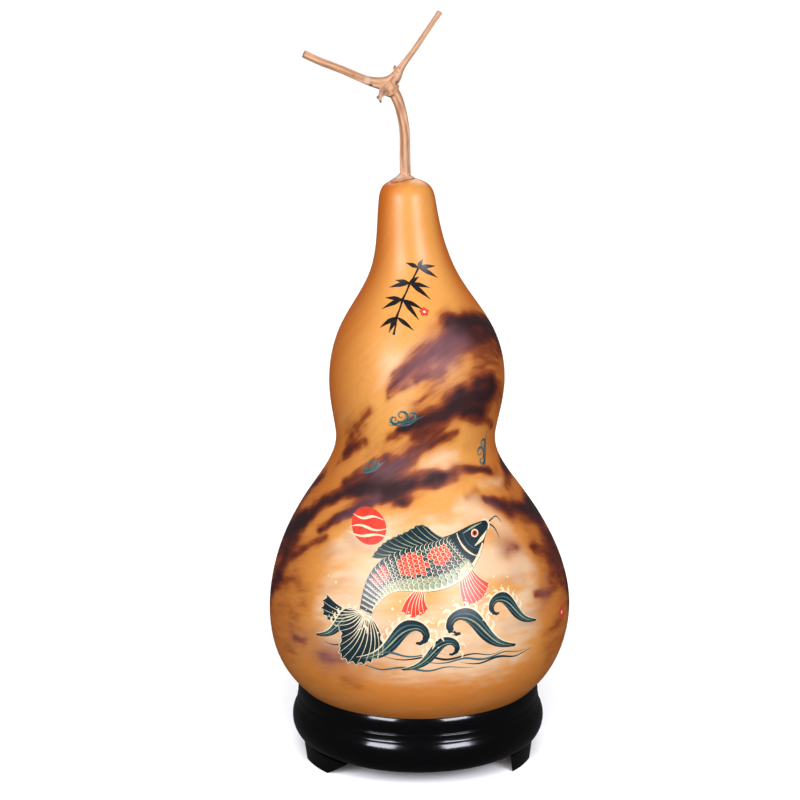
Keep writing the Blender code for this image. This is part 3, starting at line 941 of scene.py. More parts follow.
class Paint(Enum):
    """The painter's colours, as the finish's name and its hex colour."""

    DEEP_TEAL = ("deep_teal_lacquer_paint", "14282d")
    TEAL = ("teal_lacquer_paint", "3b6164")
    SAGE = ("sage_lacquer_paint", "93a07c")
    CREAM = ("cream_lacquer_paint", "f2d9b0")
    VERMILION = ("vermilion_lacquer_paint", "de3f2a")
    INK = ("black_ink", "110a0c")

    def make(self) -> bpy.types.Material:
        """Makes opaque brushed paint under the varnish, whose shade wavers as the brush's load did.

        Returns:
            The finish, which is made once and then shared.
        """
        name, colour = self.value
        if name in bpy.data.materials:
            return bpy.data.materials[name]
        material, tree, shader = new_material(name, Roughness=0.32, IOR=1.48)
        place = add_node(tree, "ShaderNodeTexCoord").outputs["Object"]
        load = add_node(tree, "ShaderNodeTexNoise", Grain(0.004, 3.0, 0.6).on(place)).outputs["Fac"]
        share = add_node(tree, "ShaderNodeMapRange", Band(0.35, 0.75, 0.0, 1.0).on(load)).outputs["Result"]
        thin = tuple(min(1.0, 1.35 * channel + 0.01) for channel in linear(colour)[:3]) + (1.0,)
        tree.links.new(lay_colours(tree, colour, ((thin, share),)), shader.inputs["Base Color"])
        return material


class Coat(Enum):
    """How far each coat of paint stands over the rind, in mm."""

    GROUND = 0.06
    FORM = 0.09
    MARK = 0.12
    LINE = 0.15
    TOP = 0.18


@dataclass(frozen=True)
class Fin:
    """How a fin is painted: how far its rays bend, how many there are, its colours and their width."""

    bend: float
    rays: int
    skin: Paint
    line: Paint
    ray_width: float


@dataclass
class Picture:
    """A flat painting in mm, u to the right and v up, that is laid on the rind round one place."""

    gourd: Gourd
    azimuth: float
    height: float
    turn: float = 0.0
    scale: float = 1.0
    films: list[tuple[np.ndarray, Paint, Coat]] = field(default_factory=list)
    sunk: float = -0.05
    row_step: float = 1.3
    column_step: float = 1.8
    least_width: float = 0.06
    wide_stroke: float = 1.2
    fin_notch: float = 0.07
    sharp_edge: float = math.radians(50)

    def on_rind(self, plane: np.ndarray, lift: float) -> np.ndarray:
        """Gives the places on the gourd of places in the painting.

        The plane is turned and scaled. Then v runs up the outline and u round it, both at their true
        length, so that the azimuth is u over the radius.

        Args:
            plane: places in the painting.
            lift: height over the rind in mm.

        Returns:
            Places in metres.
        """
        cos, sin = math.cos(math.radians(self.turn)), math.sin(math.radians(self.turn))
        u = self.scale * (plane[..., 0] * cos - plane[..., 1] * sin)
        v = self.scale * (plane[..., 0] * sin + plane[..., 1] * cos)
        along = self.gourd.share_at(self.height * MM) + v * MM / self.gourd.length
        azimuth = math.radians(self.azimuth) + u * MM / self.gourd.curve(along)[..., 0]
        return self.gourd.surface(along, azimuth, lift * MM)

    def lay(self, grid: np.ndarray, paint: Paint, coat: Coat) -> None:
        """Keeps a grid of places as one film of paint, turned so that its front faces out.

        Args:
            grid: rows of places in the painting.
            paint: the colour.
            coat: the coat that it belongs to.
        """
        along, across = np.diff(grid, axis=0)[:, :-1], np.diff(grid, axis=1)[:-1]
        area = (along[..., 0] * across[..., 1] - along[..., 1] * across[..., 0]).sum()
        self.films.append((grid if area > 0 else grid[:, ::-1], paint, coat))

    def stroke(self, path: Path, widths: Sequence[float], paint: Paint, coat: Coat) -> None:
        """Paints one brush stroke.

        It is a spline through the path, plus and minus half the width square to it.

        Args:
            path: places that the middle of the stroke passes.
            widths: widths in mm, spread evenly along it.
            paint: the colour.
            coat: the coat that it belongs to.
        """
        curve, knots = path_spline(np.asarray(path))
        rows = max(5, round(knots[-1] / self.row_step) + 1)
        centre = curve(np.linspace(0, knots[-1], rows))
        tangent = unit(np.gradient(centre, axis=0))
        left = np.stack([-tangent[:, 1], tangent[:, 0]], axis=-1)
        width = np.interp(np.linspace(0, 1, rows), np.linspace(0, 1, len(widths)), widths)
        columns = 3 if width.max() > self.wide_stroke else 2
        share = np.linspace(-0.5, 0.5, columns)[:, None]
        half = np.maximum(width, self.least_width)[:, None] * left
        self.lay(centre[:, None] + share * half[:, None], paint, coat)

    def patch(self, first: np.ndarray, second: np.ndarray, paint: Paint, coat: Coat) -> None:
        """Fills the space between two edges that have as many points, straight across.

        Args:
            first: one edge.
            second: the other edge.
            paint: the colour.
            coat: the coat that it belongs to.
        """
        widest = np.linalg.norm(first - second, axis=1).max()
        columns = max(3, math.ceil(widest / self.column_step) + 1)
        share = np.linspace(0, 1, columns)[:, None]
        self.lay(first[:, None] * (1 - share) + second[:, None] * share, paint, coat)

    def disc(self, centre: Sequence[float], radius: float, paint: Paint, coat: Coat) -> None:
        """Fills a circle between its left half and its right half.

        Args:
            centre: its middle.
            radius: its radius in mm.
            paint: the colour.
            coat: the coat that it belongs to.
        """
        angle = np.linspace(0.02, math.pi - 0.02, max(9, round(radius * 2) + 1))
        arc = radius * np.stack([np.sin(angle), np.cos(angle)], axis=-1)
        self.patch(np.asarray(centre) + arc * (-1, 1), np.asarray(centre) + arc, paint, coat)

    def fan(self, fin: Fin, root: Path, tip: Path) -> None:
        """Paints a fin: a skin from a root line to a tip line, with rays and a rim.

        Ray k goes from the root line to the tip line at the same share, and swings out by
        bend * sin(pi * share along it) square to it. Between two rays the rim is notched.

        Args:
            fin: how the fin is painted.
            root: the line that it grows from.
            tip: the line that it ends at.
        """
        share = np.linspace(0, 1, 2 * fin.rays - 1)
        root_curve, root_knots = path_spline(root)
        tip_curve, tip_knots = path_spline(tip)
        start, end = root_curve(share * root_knots[-1]), tip_curve(share * tip_knots[-1])
        notch = 1 - self.fin_notch * (np.arange(len(share)) % 2)
        end = start + (end - start) * notch[:, None]
        along = np.linspace(0, 1, 12)[:, None, None]
        ahead = unit(end - start)
        side = np.stack([-ahead[:, 1], ahead[:, 0]], axis=-1)
        grid = start * (1 - along) + end * along + fin.bend * np.sin(math.pi * along) * side
        self.lay(grid, fin.skin, Coat.FORM)
        for k in range(0, len(share), 2):
            ray = np.concatenate([grid[::2, k], grid[-1:, k]])
            self.stroke(ray, np.array([0.9, 1.0, 0.6, 0.3]) * fin.ray_width, fin.line, Coat.LINE)
        self.stroke(grid[-1], np.array([0.5, 0.8, 0.5]) * fin.ray_width, fin.line, Coat.LINE)

    def finish(self, name: str) -> bpy.types.Object:
        """Turns the films into one piece, each a thin closed body that starts just under the rind.

        Args:
            name: the piece's name.

        Returns:
            The piece.
        """
        paints = list(dict.fromkeys(paint for _, paint, _ in self.films))
        points, faces, slots = [], [], []
        start = 0
        for grid, paint, coat in self.films:
            rows, columns = grid.shape[:2]
            count = rows * columns
            points += [self.on_rind(grid, lift).reshape(-1, 3) for lift in (coat.value, self.sunk)]
            number = start + np.arange(count).reshape(rows, columns)
            corners = (number[:-1, :-1], number[1:, :-1], number[1:, 1:], number[:-1, 1:])
            top = np.stack(corners, axis=-1).reshape(-1, 4)
            rim = np.concatenate([number[:, 0], number[-1, 1:], number[-2::-1, -1], number[0, -2:0:-1]])
            after = np.roll(rim, -1)
            wall = np.stack([rim, rim + count, after + count, after], axis=-1)
            faces += [top, top[:, ::-1] + count, wall]
            slots += [paints.index(paint)] * (2 * len(top) + len(wall))
            start += 2 * count
        finishes = [paint.make() for paint in paints]
        corners = np.concatenate(faces).tolist()
        piece = add_piece(name, np.concatenate(points), corners, finishes, np.array(slots))
        piece.data.set_sharp_from_angle(angle=self.sharp_edge)
        return piece


@dataclass
class Carp:
    """A carp that leaps over waves under a red sun, in the middle of the lower belly.

    A place on the fish is (share, side): share runs from the snout, 0, to the tail, 1, and side from the
    belly, -1, to the back, 1. Other places are (u, v) in the painting, in mm.
    """

    azimuth: float = 3.0
    height: float = 145.0
    spine: Path = ((45, 33), (36, 27), (24, 17), (9, 10), (-8, 7), (-23, 2), (-34, -9), (-40, -22))
    halves: Sequence[float] = (1.4, 7.4, 13.4, 16.0, 14.6, 10.6, 6.6, 3.8)
    scale_rows: int = 25
    scale_columns: int = 9
    scale_shares: Pair = (0.25, 0.985)
    scale_cover: float = 0.86
    scale_size: float = 2.9
    scale_fit: float = 1.12
    pale_below: float = -0.45
    red_patches: Path = ((0.36, 0.35, 0.075), (0.55, 0.15, 0.09), (0.76, 0.3, 0.07))
    red_patch_width: float = 5.0
    eye: Pair = (0.115, 0.18)
    eye_rings: Sequence[tuple[float, Paint, Coat]] = (
        (2.7, Paint.CREAM, Coat.MARK),
        (1.9, Paint.VERMILION, Coat.LINE),
        (1.1, Paint.INK, Coat.TOP),
    )
    barbels: Sequence[Path] = (((7, 2), (12, -3)), ((5, -5), (8, -12)))
    back_fin: Fin = Fin(0.8, 12, Paint.DEEP_TEAL, Paint.SAGE, 0.55)
    back_fin_shares: Pair = (0.30, 0.68)
    back_fin_rise: Sequence[float] = (0.62, 0.74, 0.66, 0.6, 0.62, 0.5)
    breast_fin: Fin = Fin(-2.0, 9, Paint.VERMILION, Paint.CREAM, 0.6)
    breast_fin_tip: Path = ((42, -6), (36, -15), (23, -18))
    belly_fin: Fin = Fin(-1.5, 7, Paint.VERMILION, Paint.CREAM, 0.55)
    belly_fin_tip: Path = ((0, -18), (-8, -24), (-17, -20))
    tail_fin: Fin = Fin(3.0, 17, Paint.DEEP_TEAL, Paint.CREAM, 0.6)
    tail_fin_tip: Path = ((-68, -14), (-72, -27), (-58, -36), (-59, -51), (-43, -56), (-29, -47))
    sun: Pair = (-35, 33)
    sun_radius: float = 12.0
    sun_bands: Path = ((-0.5, 1.3, 1.0), (-0.1, 1.1, -1.0), (0.45, 0.9, 1.0))
    swell_spans: Sequence[Pair] = ((-70, -20), (-58, 10), (-30, 50), (-6, 70), (20, 74), (-50, 30))
    swell_level: float = -44.0
    swell_step: float = -2.4
    waves: Path = (
        (-52, -31, 11, 1), (-14, -38, 14, 1), (26, -33, 15, -1), (8, -46, 11, 1), (52, -24, 12, -1),
    )
    wave_back: Path = (
        (-2.3, -0.9), (-1.4, -0.5), (-0.75, 0.3), (-0.1, 0.95),
        (0.65, 0.9), (1.05, 0.35), (0.8, -0.15), (0.4, -0.1),
    )
    wave_hollow: Path = (
        (-2.2, -1.0), (-1.3, -0.85), (-0.5, -0.35), (0.0, 0.25),
        (0.45, 0.5), (0.72, 0.28), (0.62, 0.02), (0.42, 0.0),
    )
    wave_bands: Sequence[tuple[float, float, Paint]] = (
        (0.30, 0.07, Paint.TEAL),
        (0.55, 0.06, Paint.SAGE),
        (0.8, 0.05, Paint.TEAL),
    )
    foam_from: float = 0.3
    foam_to: float = 0.86
    foam_fingers: int = 9
    drops: Path = (
        (-60, -6, 0.9), (-66, -3, 0.6), (-22, -18, 0.9), (-17, -13, 0.6), (45, -2, 0.8), (56, -4, 0.6),
    )

    def __post_init__(self) -> None:
        """Works out the splines of the spine and of how thick the fish is along it."""
        self.spine_at, knots = path_spline(self.spine)
        self.length = knots[-1]
        self.thickness = spline(knots / self.length, self.halves)

    def line(self, share: np.ndarray) -> np.ndarray:
        """Places on the spine at shares of its length."""
        return self.spine_at(np.asarray(share) * self.length)

    def half(self, share: np.ndarray) -> np.ndarray:
        """Half the fish's thickness at shares of the spine."""
        return np.maximum(self.thickness(share)[..., 0], 0.5)

    def body(self, share: np.ndarray, side: np.ndarray) -> np.ndarray:
        """Gives places on the fish: the spine's, and from there square to it by side * half the thickness.

        Args:
            share: from the snout to the tail.
            side: from the belly to the back.

        Returns:
            Places in the painting.
        """
        share, side = np.broadcast_arrays(np.asarray(share, float), np.asarray(side, float))
        ahead = unit(self.line(np.clip(share + 0.01, 0, 1)) - self.line(np.clip(share - 0.01, 0, 1)))
        back = np.stack([ahead[..., 1], -ahead[..., 0]], axis=-1)
        return self.line(share) + (side * self.half(share))[..., None] * back

    def is_red(self, share: float, side: float) -> bool:
        """Says whether a place on the fish is inside one of the oval red patches.

        Args:
            share: from the snout to the tail.
            side: from the belly to the back.

        Returns:
            Whether it is.
        """
        wide = self.red_patch_width
        return any(
            math.hypot((share - at) / reach, (side - beside) / (wide * reach)) < 1
            for at, beside, reach in self.red_patches
        )

    def paint_scales(self, picture: Picture) -> None:
        """Covers the flank with scales: half rings that open towards the head, in staggered rows.

        Args:
            picture: the painting.
        """
        first, last = self.scale_shares
        angle = np.linspace(-1.35, 1.35, 7)[:, None]
        for row in range(self.scale_rows):
            share = first + (last - first) * row / (self.scale_rows - 1)
            count = self.scale_columns - row % 2
            for column in range(count):
                side = (2 * (column + 0.5) / count - 1) * self.scale_cover
                centre = self.body(share, side)
                towards = unit(self.body(min(share + 0.02, 1), side) - self.body(share - 0.02, side))
                back = np.array([towards[1], -towards[0]])
                room = self.half(share) * self.scale_cover * 2 / count
                size = min(self.scale_size, self.scale_fit * room)
                ring = 1.25 * np.cos(angle) * towards + 0.92 * np.sin(angle) * back
                red = self.is_red(share, side)
                if red or side < self.pale_below:
                    inner = centre + 0.25 * size * np.sin(angle) * back
                    paint = Paint.VERMILION if red else Paint.SAGE
                    picture.patch(centre + size * ring, inner, paint, Coat.MARK)
                else:
                    picture.stroke(centre + 0.62 * size * ring, (0.1, 0.55, 0.1), Paint.TEAL, Coat.MARK)
                picture.stroke(centre + size * ring, (0.12, 0.5, 0.12), Paint.CREAM, Coat.LINE)

    def paint_head(self, picture: Picture) -> None:
        """Adds the gill cover, the cheek, the eye, the lips and the barbels.

        Args:
            picture: the painting.
        """
        side = np.linspace(-0.95, 0.95, 11)
        picture.stroke(self.body(0.225 - 0.035 * side**2, side), (0.3, 1.5, 0.4), Paint.CREAM, Coat.LINE)
        picture.stroke(self.body(0.19 - 0.03 * side**2, 0.8 * side), (0.2, 0.8, 0.2), Paint.TEAL, Coat.LINE)
        share = np.linspace(0.04, 0.17, 7)
        picture.stroke(self.body(share, -0.9 + 4 * (share - 0.04)), (0.3, 2.8, 0.5), Paint.CREAM, Coat.MARK)
        picture.stroke(self.body(share, 0.72), (0.3, 1.4, 0.3), Paint.SAGE, Coat.MARK)
        for radius, paint, coat in self.eye_rings:
            picture.disc(self.body(*self.eye), radius, paint, coat)
        lip = self.body(np.array([0.03, 0.0, 0.0, 0.03]), np.array([1.2, 0.8, -0.8, -1.2]))
        picture.stroke(lip, (0.8, 1.6, 0.8), Paint.CREAM, Coat.LINE)
        snout = self.line(0.0)
        for reach, end in self.barbels:
            path = [snout - 1.5, snout + 0.6 * np.array(reach), snout + reach, snout + end]
            picture.stroke(path, (1.0, 0.9, 0.6, 0.2), Paint.DEEP_TEAL, Coat.FORM)

    def paint_fins(self, picture: Picture) -> None:
        """Adds the back fin, the paired fins and the forked tail.

        Args:
            picture: the painting.
        """
        share = np.linspace(*self.back_fin_shares, len(self.back_fin_rise))
        rise = np.array(self.back_fin_rise)[:, None]
        tip = self.body(share + 0.07, 1.0) + rise * (self.body(share, 2.0) - self.body(share, 1.0))
        picture.fan(self.back_fin, self.body(share, 0.94), tip)
        picture.fan(self.breast_fin, self.body([0.26, 0.31], -0.6), self.breast_fin_tip)
        picture.fan(self.belly_fin, self.body([0.52, 0.58], -0.9), self.belly_fin_tip)
        picture.fan(self.tail_fin, self.body(1.0, [1, 0, -1]), self.tail_fin_tip)

    def paint_wave(self, picture: Picture, place: Pair, size: float, hand: float) -> None:
        """Paints one curling wave.

        A dark body tapers from the crest to its foot, with paler bands that follow the crest, and
        hooked cream fingers of foam run along the back and round the curl.

        Args:
            picture: the painting.
            place: the wave's middle.
            size: its size in mm.
            hand: 1 where it curls to the right, -1 where it curls to the left.
        """
        turn = size * np.array((hand, 1))
        crest, knots = path_spline(np.asarray(place) + turn * np.asarray(self.wave_back))
        under, under_knots = path_spline(np.asarray(place) + turn * np.asarray(self.wave_hollow))
        share = np.linspace(0, 1, 26)
        outer, inner = crest(share * knots[-1]), under(share * under_knots[-1])
        picture.patch(outer, inner, Paint.DEEP_TEAL, Coat.GROUND)
        for part, width, paint in self.wave_bands:
            band = (outer * (1 - part) + inner * part)[1:22:2]
            picture.stroke(band, np.array([0.02, 1.0, 1.2, 0.8, 0.1]) * width * size, paint, Coat.FORM)
        picture.stroke(outer[::2], np.array([0.3, 1, 1.2, 1, 0.6]) * 0.07 * size, Paint.CREAM, Coat.MARK)
        for at in np.linspace(self.foam_from, self.foam_to, self.foam_fingers):
            start = crest(at * knots[-1])
            ahead = unit(crest((at + 0.02) * knots[-1]) - start)
            out = np.array([-ahead[1], ahead[0]]) * hand
            reach = size * (0.30 + 0.08 * math.sin(9 * at))
            bends = ((-0.1, 0.0), (0.7, 0.3), (0.75, 0.95))
            path = [start + reach * (outwards * out + onwards * ahead) for outwards, onwards in bends]
            picture.stroke(path, np.array([0.16, 0.15, 0.03]) * size, Paint.CREAM, Coat.MARK)
            picture.disc(start + reach * (1.35 * out + 0.5 * ahead), 0.035 * size, Paint.CREAM, Coat.FORM)

    def paint_sun(self, picture: Picture) -> None:
        """Paints the red sun and the wavy bands of mist that cross it.

        Args:
            picture: the painting.
        """
        (u, v), radius = self.sun, self.sun_radius
        picture.disc((u, v), radius, Paint.VERMILION, Coat.GROUND)
        for rise, reach, lift in self.sun_bands:
            steps = np.linspace(-1, 1, 7)
            path = [(u + k * radius * reach, v + radius * rise + lift * math.sin(4 * k)) for k in steps]
            picture.stroke(path, (0.2, 1.2, 1.9, 1.0, 0.2), Paint.CREAM, Coat.FORM)

    def paint(self, gourd: Gourd) -> bpy.types.Object:
        """Paints the whole picture, from the sun behind to the waves in front.

        Args:
            gourd: the gourd that it is painted on.

        Returns:
            The piece.
        """
        picture = Picture(gourd, self.azimuth, self.height)
        self.paint_sun(picture)
        self.paint_fins(picture)
        share = np.linspace(0, 1, 50)
        picture.patch(self.body(share, 1.0), self.body(share, -1.0), Paint.DEEP_TEAL, Coat.FORM)
        belly = np.linspace(0.12, 0.97, 40)
        picture.patch(self.body(belly, -0.98), self.body(belly, -0.8), Paint.CREAM, Coat.MARK)
        self.paint_scales(picture)
        self.paint_head(picture)
        for row, (start, end) in enumerate(self.swell_spans):
            level = self.swell_level + self.swell_step * row
            path = [(k, level + 1.2 * math.sin(0.22 * k + row)) for k in np.linspace(start, end, 9)]
            paint = Paint.TEAL if row % 2 else Paint.DEEP_TEAL
            picture.stroke(path, (0.1, 1.0, 1.5, 0.8, 0.1), paint, Coat.GROUND)
        for u, v, size, hand in self.waves:
            self.paint_wave(picture, (u, v), size, hand)
        for u, v, radius in self.drops:
            picture.disc((u, v), radius, Paint.CREAM, Coat.GROUND)
        return picture.finish("painted_carp")


@dataclass
class Bamboo:
    """A sprig of bamboo in black ink on the neck.

    Each leaf is (u, v, heading in degrees, length), and grows from a joint of the stem.
    """

    azimuth: float = -3.0
    height: float = 312.0
    stem: Path = ((-12, -24), (-10, -12), (-6, 0), (-1, 11), (5, 21))
    leaves: Path = (
        (-10, -12, -150, 13),
        (-10, -12, -118, 11),
        (-6, 0, 172, 12),
        (-6, 0, -158, 15),
        (-6, 0, -22, 14),
        (-6, 0, -50, 16),
        (-1, 11, 164, 10),
        (-1, 11, -172, 14),
        (-1, 11, -8, 13),
        (-1, 11, -36, 16),
        (5, 21, 8, 12),
        (5, 21, -24, 14),
        (5, 21, 152, 9),
        (5, 21, 62, 7),
        (-10, -12, -34, 13),
        (-1, 11, 40, 8),
    )
    stem_widths: Sequence[float] = (1.7, 1.0, 1.1, 1.6)
    leaf_widths: Sequence[float] = (0.3, 2.2, 3.1, 2.2, 1.1, 0.1)
    droop: float = 0.12

    def paint(self, gourd: Gourd) -> bpy.types.Object:
        """Paints the stem in joints and each leaf as one stroke that swells and thins.

        A leaf's middle is its root, plus its heading by k of its length, less a droop by k squared.

        Args:
            gourd: the gourd that it is painted on.

        Returns:
            The piece.
        """
        picture = Picture(gourd, self.azimuth, self.height)
        for (u, v), (next_u, next_v) in zip(self.stem, self.stem[1:]):
            middle = ((u + next_u) / 2 + 0.3, (v + next_v) / 2)
            picture.stroke(((u, v), middle, (next_u, next_v)), self.stem_widths, Paint.INK, Coat.FORM)
            joint = ((next_u - 1.0, next_v - 0.2), (next_u, next_v), (next_u + 1.0, next_v + 0.3))
            picture.stroke(joint, (0.3, 0.7, 0.3), Paint.INK, Coat.MARK)
        for u, v, heading, length in self.leaves:
            ahead = np.array([math.cos(math.radians(heading)), math.sin(math.radians(heading))])
            sag = np.array([0, -self.droop * length])
            path = [(u, v), *(((u, v) + ahead * length * k + sag * k**2).tolist() for k in (0.3, 0.65, 1.0))]
            picture.stroke(path, self.leaf_widths, Paint.INK, Coat.MARK)
        return picture.finish("ink_bamboo")


@dataclass
class CloudScroll:
    """A small scroll of cloud in teal, made of curls on a drawn-out tail.

    Each curl is (u, v, radius, hand), and each tail is (level, end).
    """

    name: str
    azimuth: float
    height: float
    turn: float
    size: float
    curls: Path = ((0, 0, 3.4, 1), (4.6, -0.8, 2.6, 1), (-3.8, -1.4, 2.4, -1))
    tails: Path = ((-3.4, 11), (-4.6, 7))
    curl_end: float = 7.6
    curl_start: float = -2.4
    narrowing: float = 0.105
    shade_shift: Pair = (0.2, -0.2)

    def paint(self, gourd: Gourd) -> bpy.types.Object:
        """Paints three curls, each with a pale and a dark line on it, and two tails.

        A curl is a circle whose radius narrows by a share of its angle.

        Args:
            gourd: the gourd that it is painted on.

        Returns:
            The piece.
        """
        picture = Picture(gourd, self.azimuth, self.height, self.turn, self.size)
        angle = np.linspace(0, self.curl_end, 14)
        at = angle + self.curl_start
        for u, v, radius, hand in self.curls:
            reach = radius * (1 - self.narrowing * angle)
            path = np.stack([u + hand * reach * np.cos(at), v + reach * np.sin(at)], axis=-1)
            picture.stroke(path, (0.6, 1.3, 1.5, 1.1, 0.7, 0.3), Paint.TEAL, Coat.FORM)
            picture.stroke(path[2:], (0.1, 0.35, 0.35, 0.1), Paint.SAGE, Coat.MARK)
            picture.stroke(path + self.shade_shift, (0.2, 0.3, 0.3, 0.1), Paint.DEEP_TEAL, Coat.LINE)
        for level, end in self.tails:
            path = [(-7, level + 1), (-2, level), (3, level - 0.2), (end, level + 1.6)]
            picture.stroke(path, (0.2, 1.0, 0.8, 0.1), Paint.TEAL, Coat.FORM)
        return picture.finish(self.name)


@dataclass
class Blossom:
    """A small five-petalled plum blossom in vermilion."""

    name: str
    azimuth: float
    height: float
    size: float
    petals: int = 5
    petal_place: float = 0.62
    petal_radius: float = 0.42
    eye_radius: float = 0.3

    def paint(self, gourd: Gourd) -> bpy.types.Object:
        """Paints round petals, the first straight up, and a cream eye.

        Args:
            gourd: the gourd that it is painted on.

        Returns:
            The piece.
        """
        picture = Picture(gourd, self.azimuth, self.height)
        reach = self.petal_place * self.size
        for k in range(self.petals):
            angle = math.radians(90 + 360 / self.petals * k)
            centre = (reach * math.cos(angle), reach * math.sin(angle))
            picture.disc(centre, self.petal_radius * self.size, Paint.VERMILION, Coat.FORM)
        picture.disc((0, 0), self.eye_radius * self.size, Paint.CREAM, Coat.MARK)
        return picture.finish(self.name)


@dataclass
class Stem:
    """The dried stem: stalk, knot, cut vine, broken tendril and skirt, grown as one.

    Paths are (x, y, z) in metres. Stains and pale spots are (x, y, z, reach, strength).
    """

    stalk_path: Path = (
        (-0.0088, 0.0, 0.3855),
        (-0.0089, 0.0, 0.3957),
        (-0.0088, 0.0, 0.4065),
        (-0.0091, 0.0, 0.4160),
        (-0.0107, 0.0, 0.4249),
        (-0.0128, 0.0, 0.4321),
        (-0.0158, 0.0, 0.4384),
        (-0.0193, 0.0, 0.4434),
    )
    stalk_radii: Sequence[float] = (0.0034, 0.0033, 0.0032, 0.0032, 0.0032, 0.0033, 0.0035, 0.0034)
    vine_path: Path = (
        (-0.0722, -0.0090, 0.4634),
        (-0.0608, -0.0070, 0.4580),
        (-0.0490, -0.0045, 0.4532),
        (-0.0397, -0.0025, 0.4489),
        (-0.0328, -0.0010, 0.4460),
        (-0.0252, 0.0, 0.4442),
        (-0.0189, 0.0005, 0.4446),
        (-0.0152, 0.0010, 0.4477),
        (-0.0126, 0.0020, 0.4520),
        (-0.0088, 0.0030, 0.4574),
        (-0.0029, 0.0045, 0.4651),
        (0.0046, 0.0065, 0.4757),
        (0.0133, 0.0090, 0.4881),
    )
    vine_radii: Sequence[float] = (
        0.0024, 0.0024, 0.0024, 0.0025, 0.0027, 0.0036, 0.0042,
        0.0037, 0.0027, 0.0020, 0.0018, 0.0017, 0.0017,
    )
    tendril_path: Path = (
        (-0.0208, -0.0010, 0.4420),
        (-0.0228, -0.0028, 0.4390),
        (-0.0244, -0.0042, 0.4364),
        (-0.0268, -0.0048, 0.4357),
    )
    tendril_radii: Sequence[float] = (0.0034, 0.0024, 0.0014, 0.0007)
    hook_path: Path = (
        (-0.0234, -0.0034, 0.4384),
        (-0.0243, -0.0042, 0.4358),
        (-0.0245, -0.0046, 0.4338),
        (-0.0238, -0.0048, 0.4323),
    )
    hook_radii: Sequence[float] = (0.0018, 0.0013, 0.0009, 0.0006)
    lobe_path: Path = (
        (-0.0185, -0.0015, 0.4405),
        (-0.0178, -0.0032, 0.4380),
        (-0.0172, -0.0040, 0.4366),
    )
    lobe_radii: Sequence[float] = (0.0034, 0.0024, 0.0012)
    spike_path: Path = (
        (-0.0136, 0.0010, 0.4490),
        (-0.0150, -0.0005, 0.4526),
        (-0.0154, -0.0010, 0.4546),
        (-0.0146, -0.0012, 0.4555),
    )
    spike_radii: Sequence[float] = (0.0020, 0.0012, 0.0008, 0.0005)
    knot_centre: Sequence[float] = (-0.0188, -0.0008, 0.4410)
    knot_size: Sequence[float] = (0.0058, 0.0050, 0.0054)
    knot_lumps: float = 0.16
    knot_lump_waves: Sequence[float] = (7.0, 5.0, 6.0)
    stains: Path = (
        (-0.0134, -0.0030, 0.4447, 0.0022, 0.95),
        (-0.0215, -0.0045, 0.4395, 0.0040, 0.55),
        (-0.0304, -0.0030, 0.4432, 0.0018, 0.9),
        (-0.0262, -0.0048, 0.4358, 0.0022, 0.7),
        (-0.0241, -0.0048, 0.4330, 0.0022, 0.7),
        (-0.0172, -0.0030, 0.4372, 0.0026, 0.5),
        (-0.0722, -0.0090, 0.4634, 0.0028, 0.45),
        (0.0133, 0.0090, 0.4881, 0.0022, 0.5),
        (-0.0152, -0.0010, 0.4550, 0.0020, 0.5),
    )
    pale_spots: Path = (
        (-0.0326, -0.0030, 0.4466, 0.0030, 0.45),
        (-0.0112, -0.0010, 0.4500, 0.0020, 0.5),
        (-0.0125, -0.0040, 0.3850, 0.0030, 0.6),
        (-0.0050, -0.0045, 0.3860, 0.0022, 0.5),
        (-0.0170, -0.0020, 0.3835, 0.0026, 0.5),
    )
    ribs: int = 5
    rib_depth: float = 0.10
    twist: float = 18.0
    skirt_reach: float = 0.0062
    skirt_extra_reach: float = 0.0045
    skirt_widest_at: float = math.radians(-55)
    skirt_edge: float = 0.0005
    skirt_rise: float = 0.0030
    skirt_inner_radius: float = 0.0029
    skirt_hollow: float = 3.0
    skirt_gap: float = 0.0004
    fit_gap: float = 0.0003
    voxel: float = 0.00038
    soften_share: float = 0.5
    soften_rounds: int = 3
    grain_step: float = 0.0008
    grain_draw: float = 9.0
    limb_shift: float = 0.02
    furrow_shade_strength: float = 0.85
    furrow_shade_depth: float = 0.16
    spot_core: float = 0.3

    def rings(self, path: Path, radii: Sequence[float], sides: int, step: float, ribs: int) -> np.ndarray:
        """Carries a ribbed round section along a path.

        The radius is r * (1 + depth * cos(ribs * (angle + twist * distance))), square to the path, with
        angles from the direction that is nearest to +Y.

        Args:
            path: places that the middle passes.
            radii: radius at each of them.
            sides: points round the section.
            step: distance between rings.
            ribs: how many ribs there are round it.

        Returns:
            A grid of rings of points.
        """
        curve, knots = path_spline(path)
        where = np.linspace(0, knots[-1], max(4, round(knots[-1] / step) + 1))
        centre = curve(where)
        radius = spline(knots, radii)(where)[:, 0]
        tangent = unit(np.gradient(centre, axis=0))
        other, across = square_axes(tangent)
        angle = np.linspace(0, 2 * np.pi, sides, endpoint=False)
        turn = self.twist * where[:, None]
        reach = radius[:, None] * (1 + self.rib_depth * np.cos(ribs * (angle + turn)))
        out = np.cos(angle)[None, :, None] * other[:, None] + np.sin(angle)[None, :, None] * across[:, None]
        return centre[:, None] + reach[..., None] * out

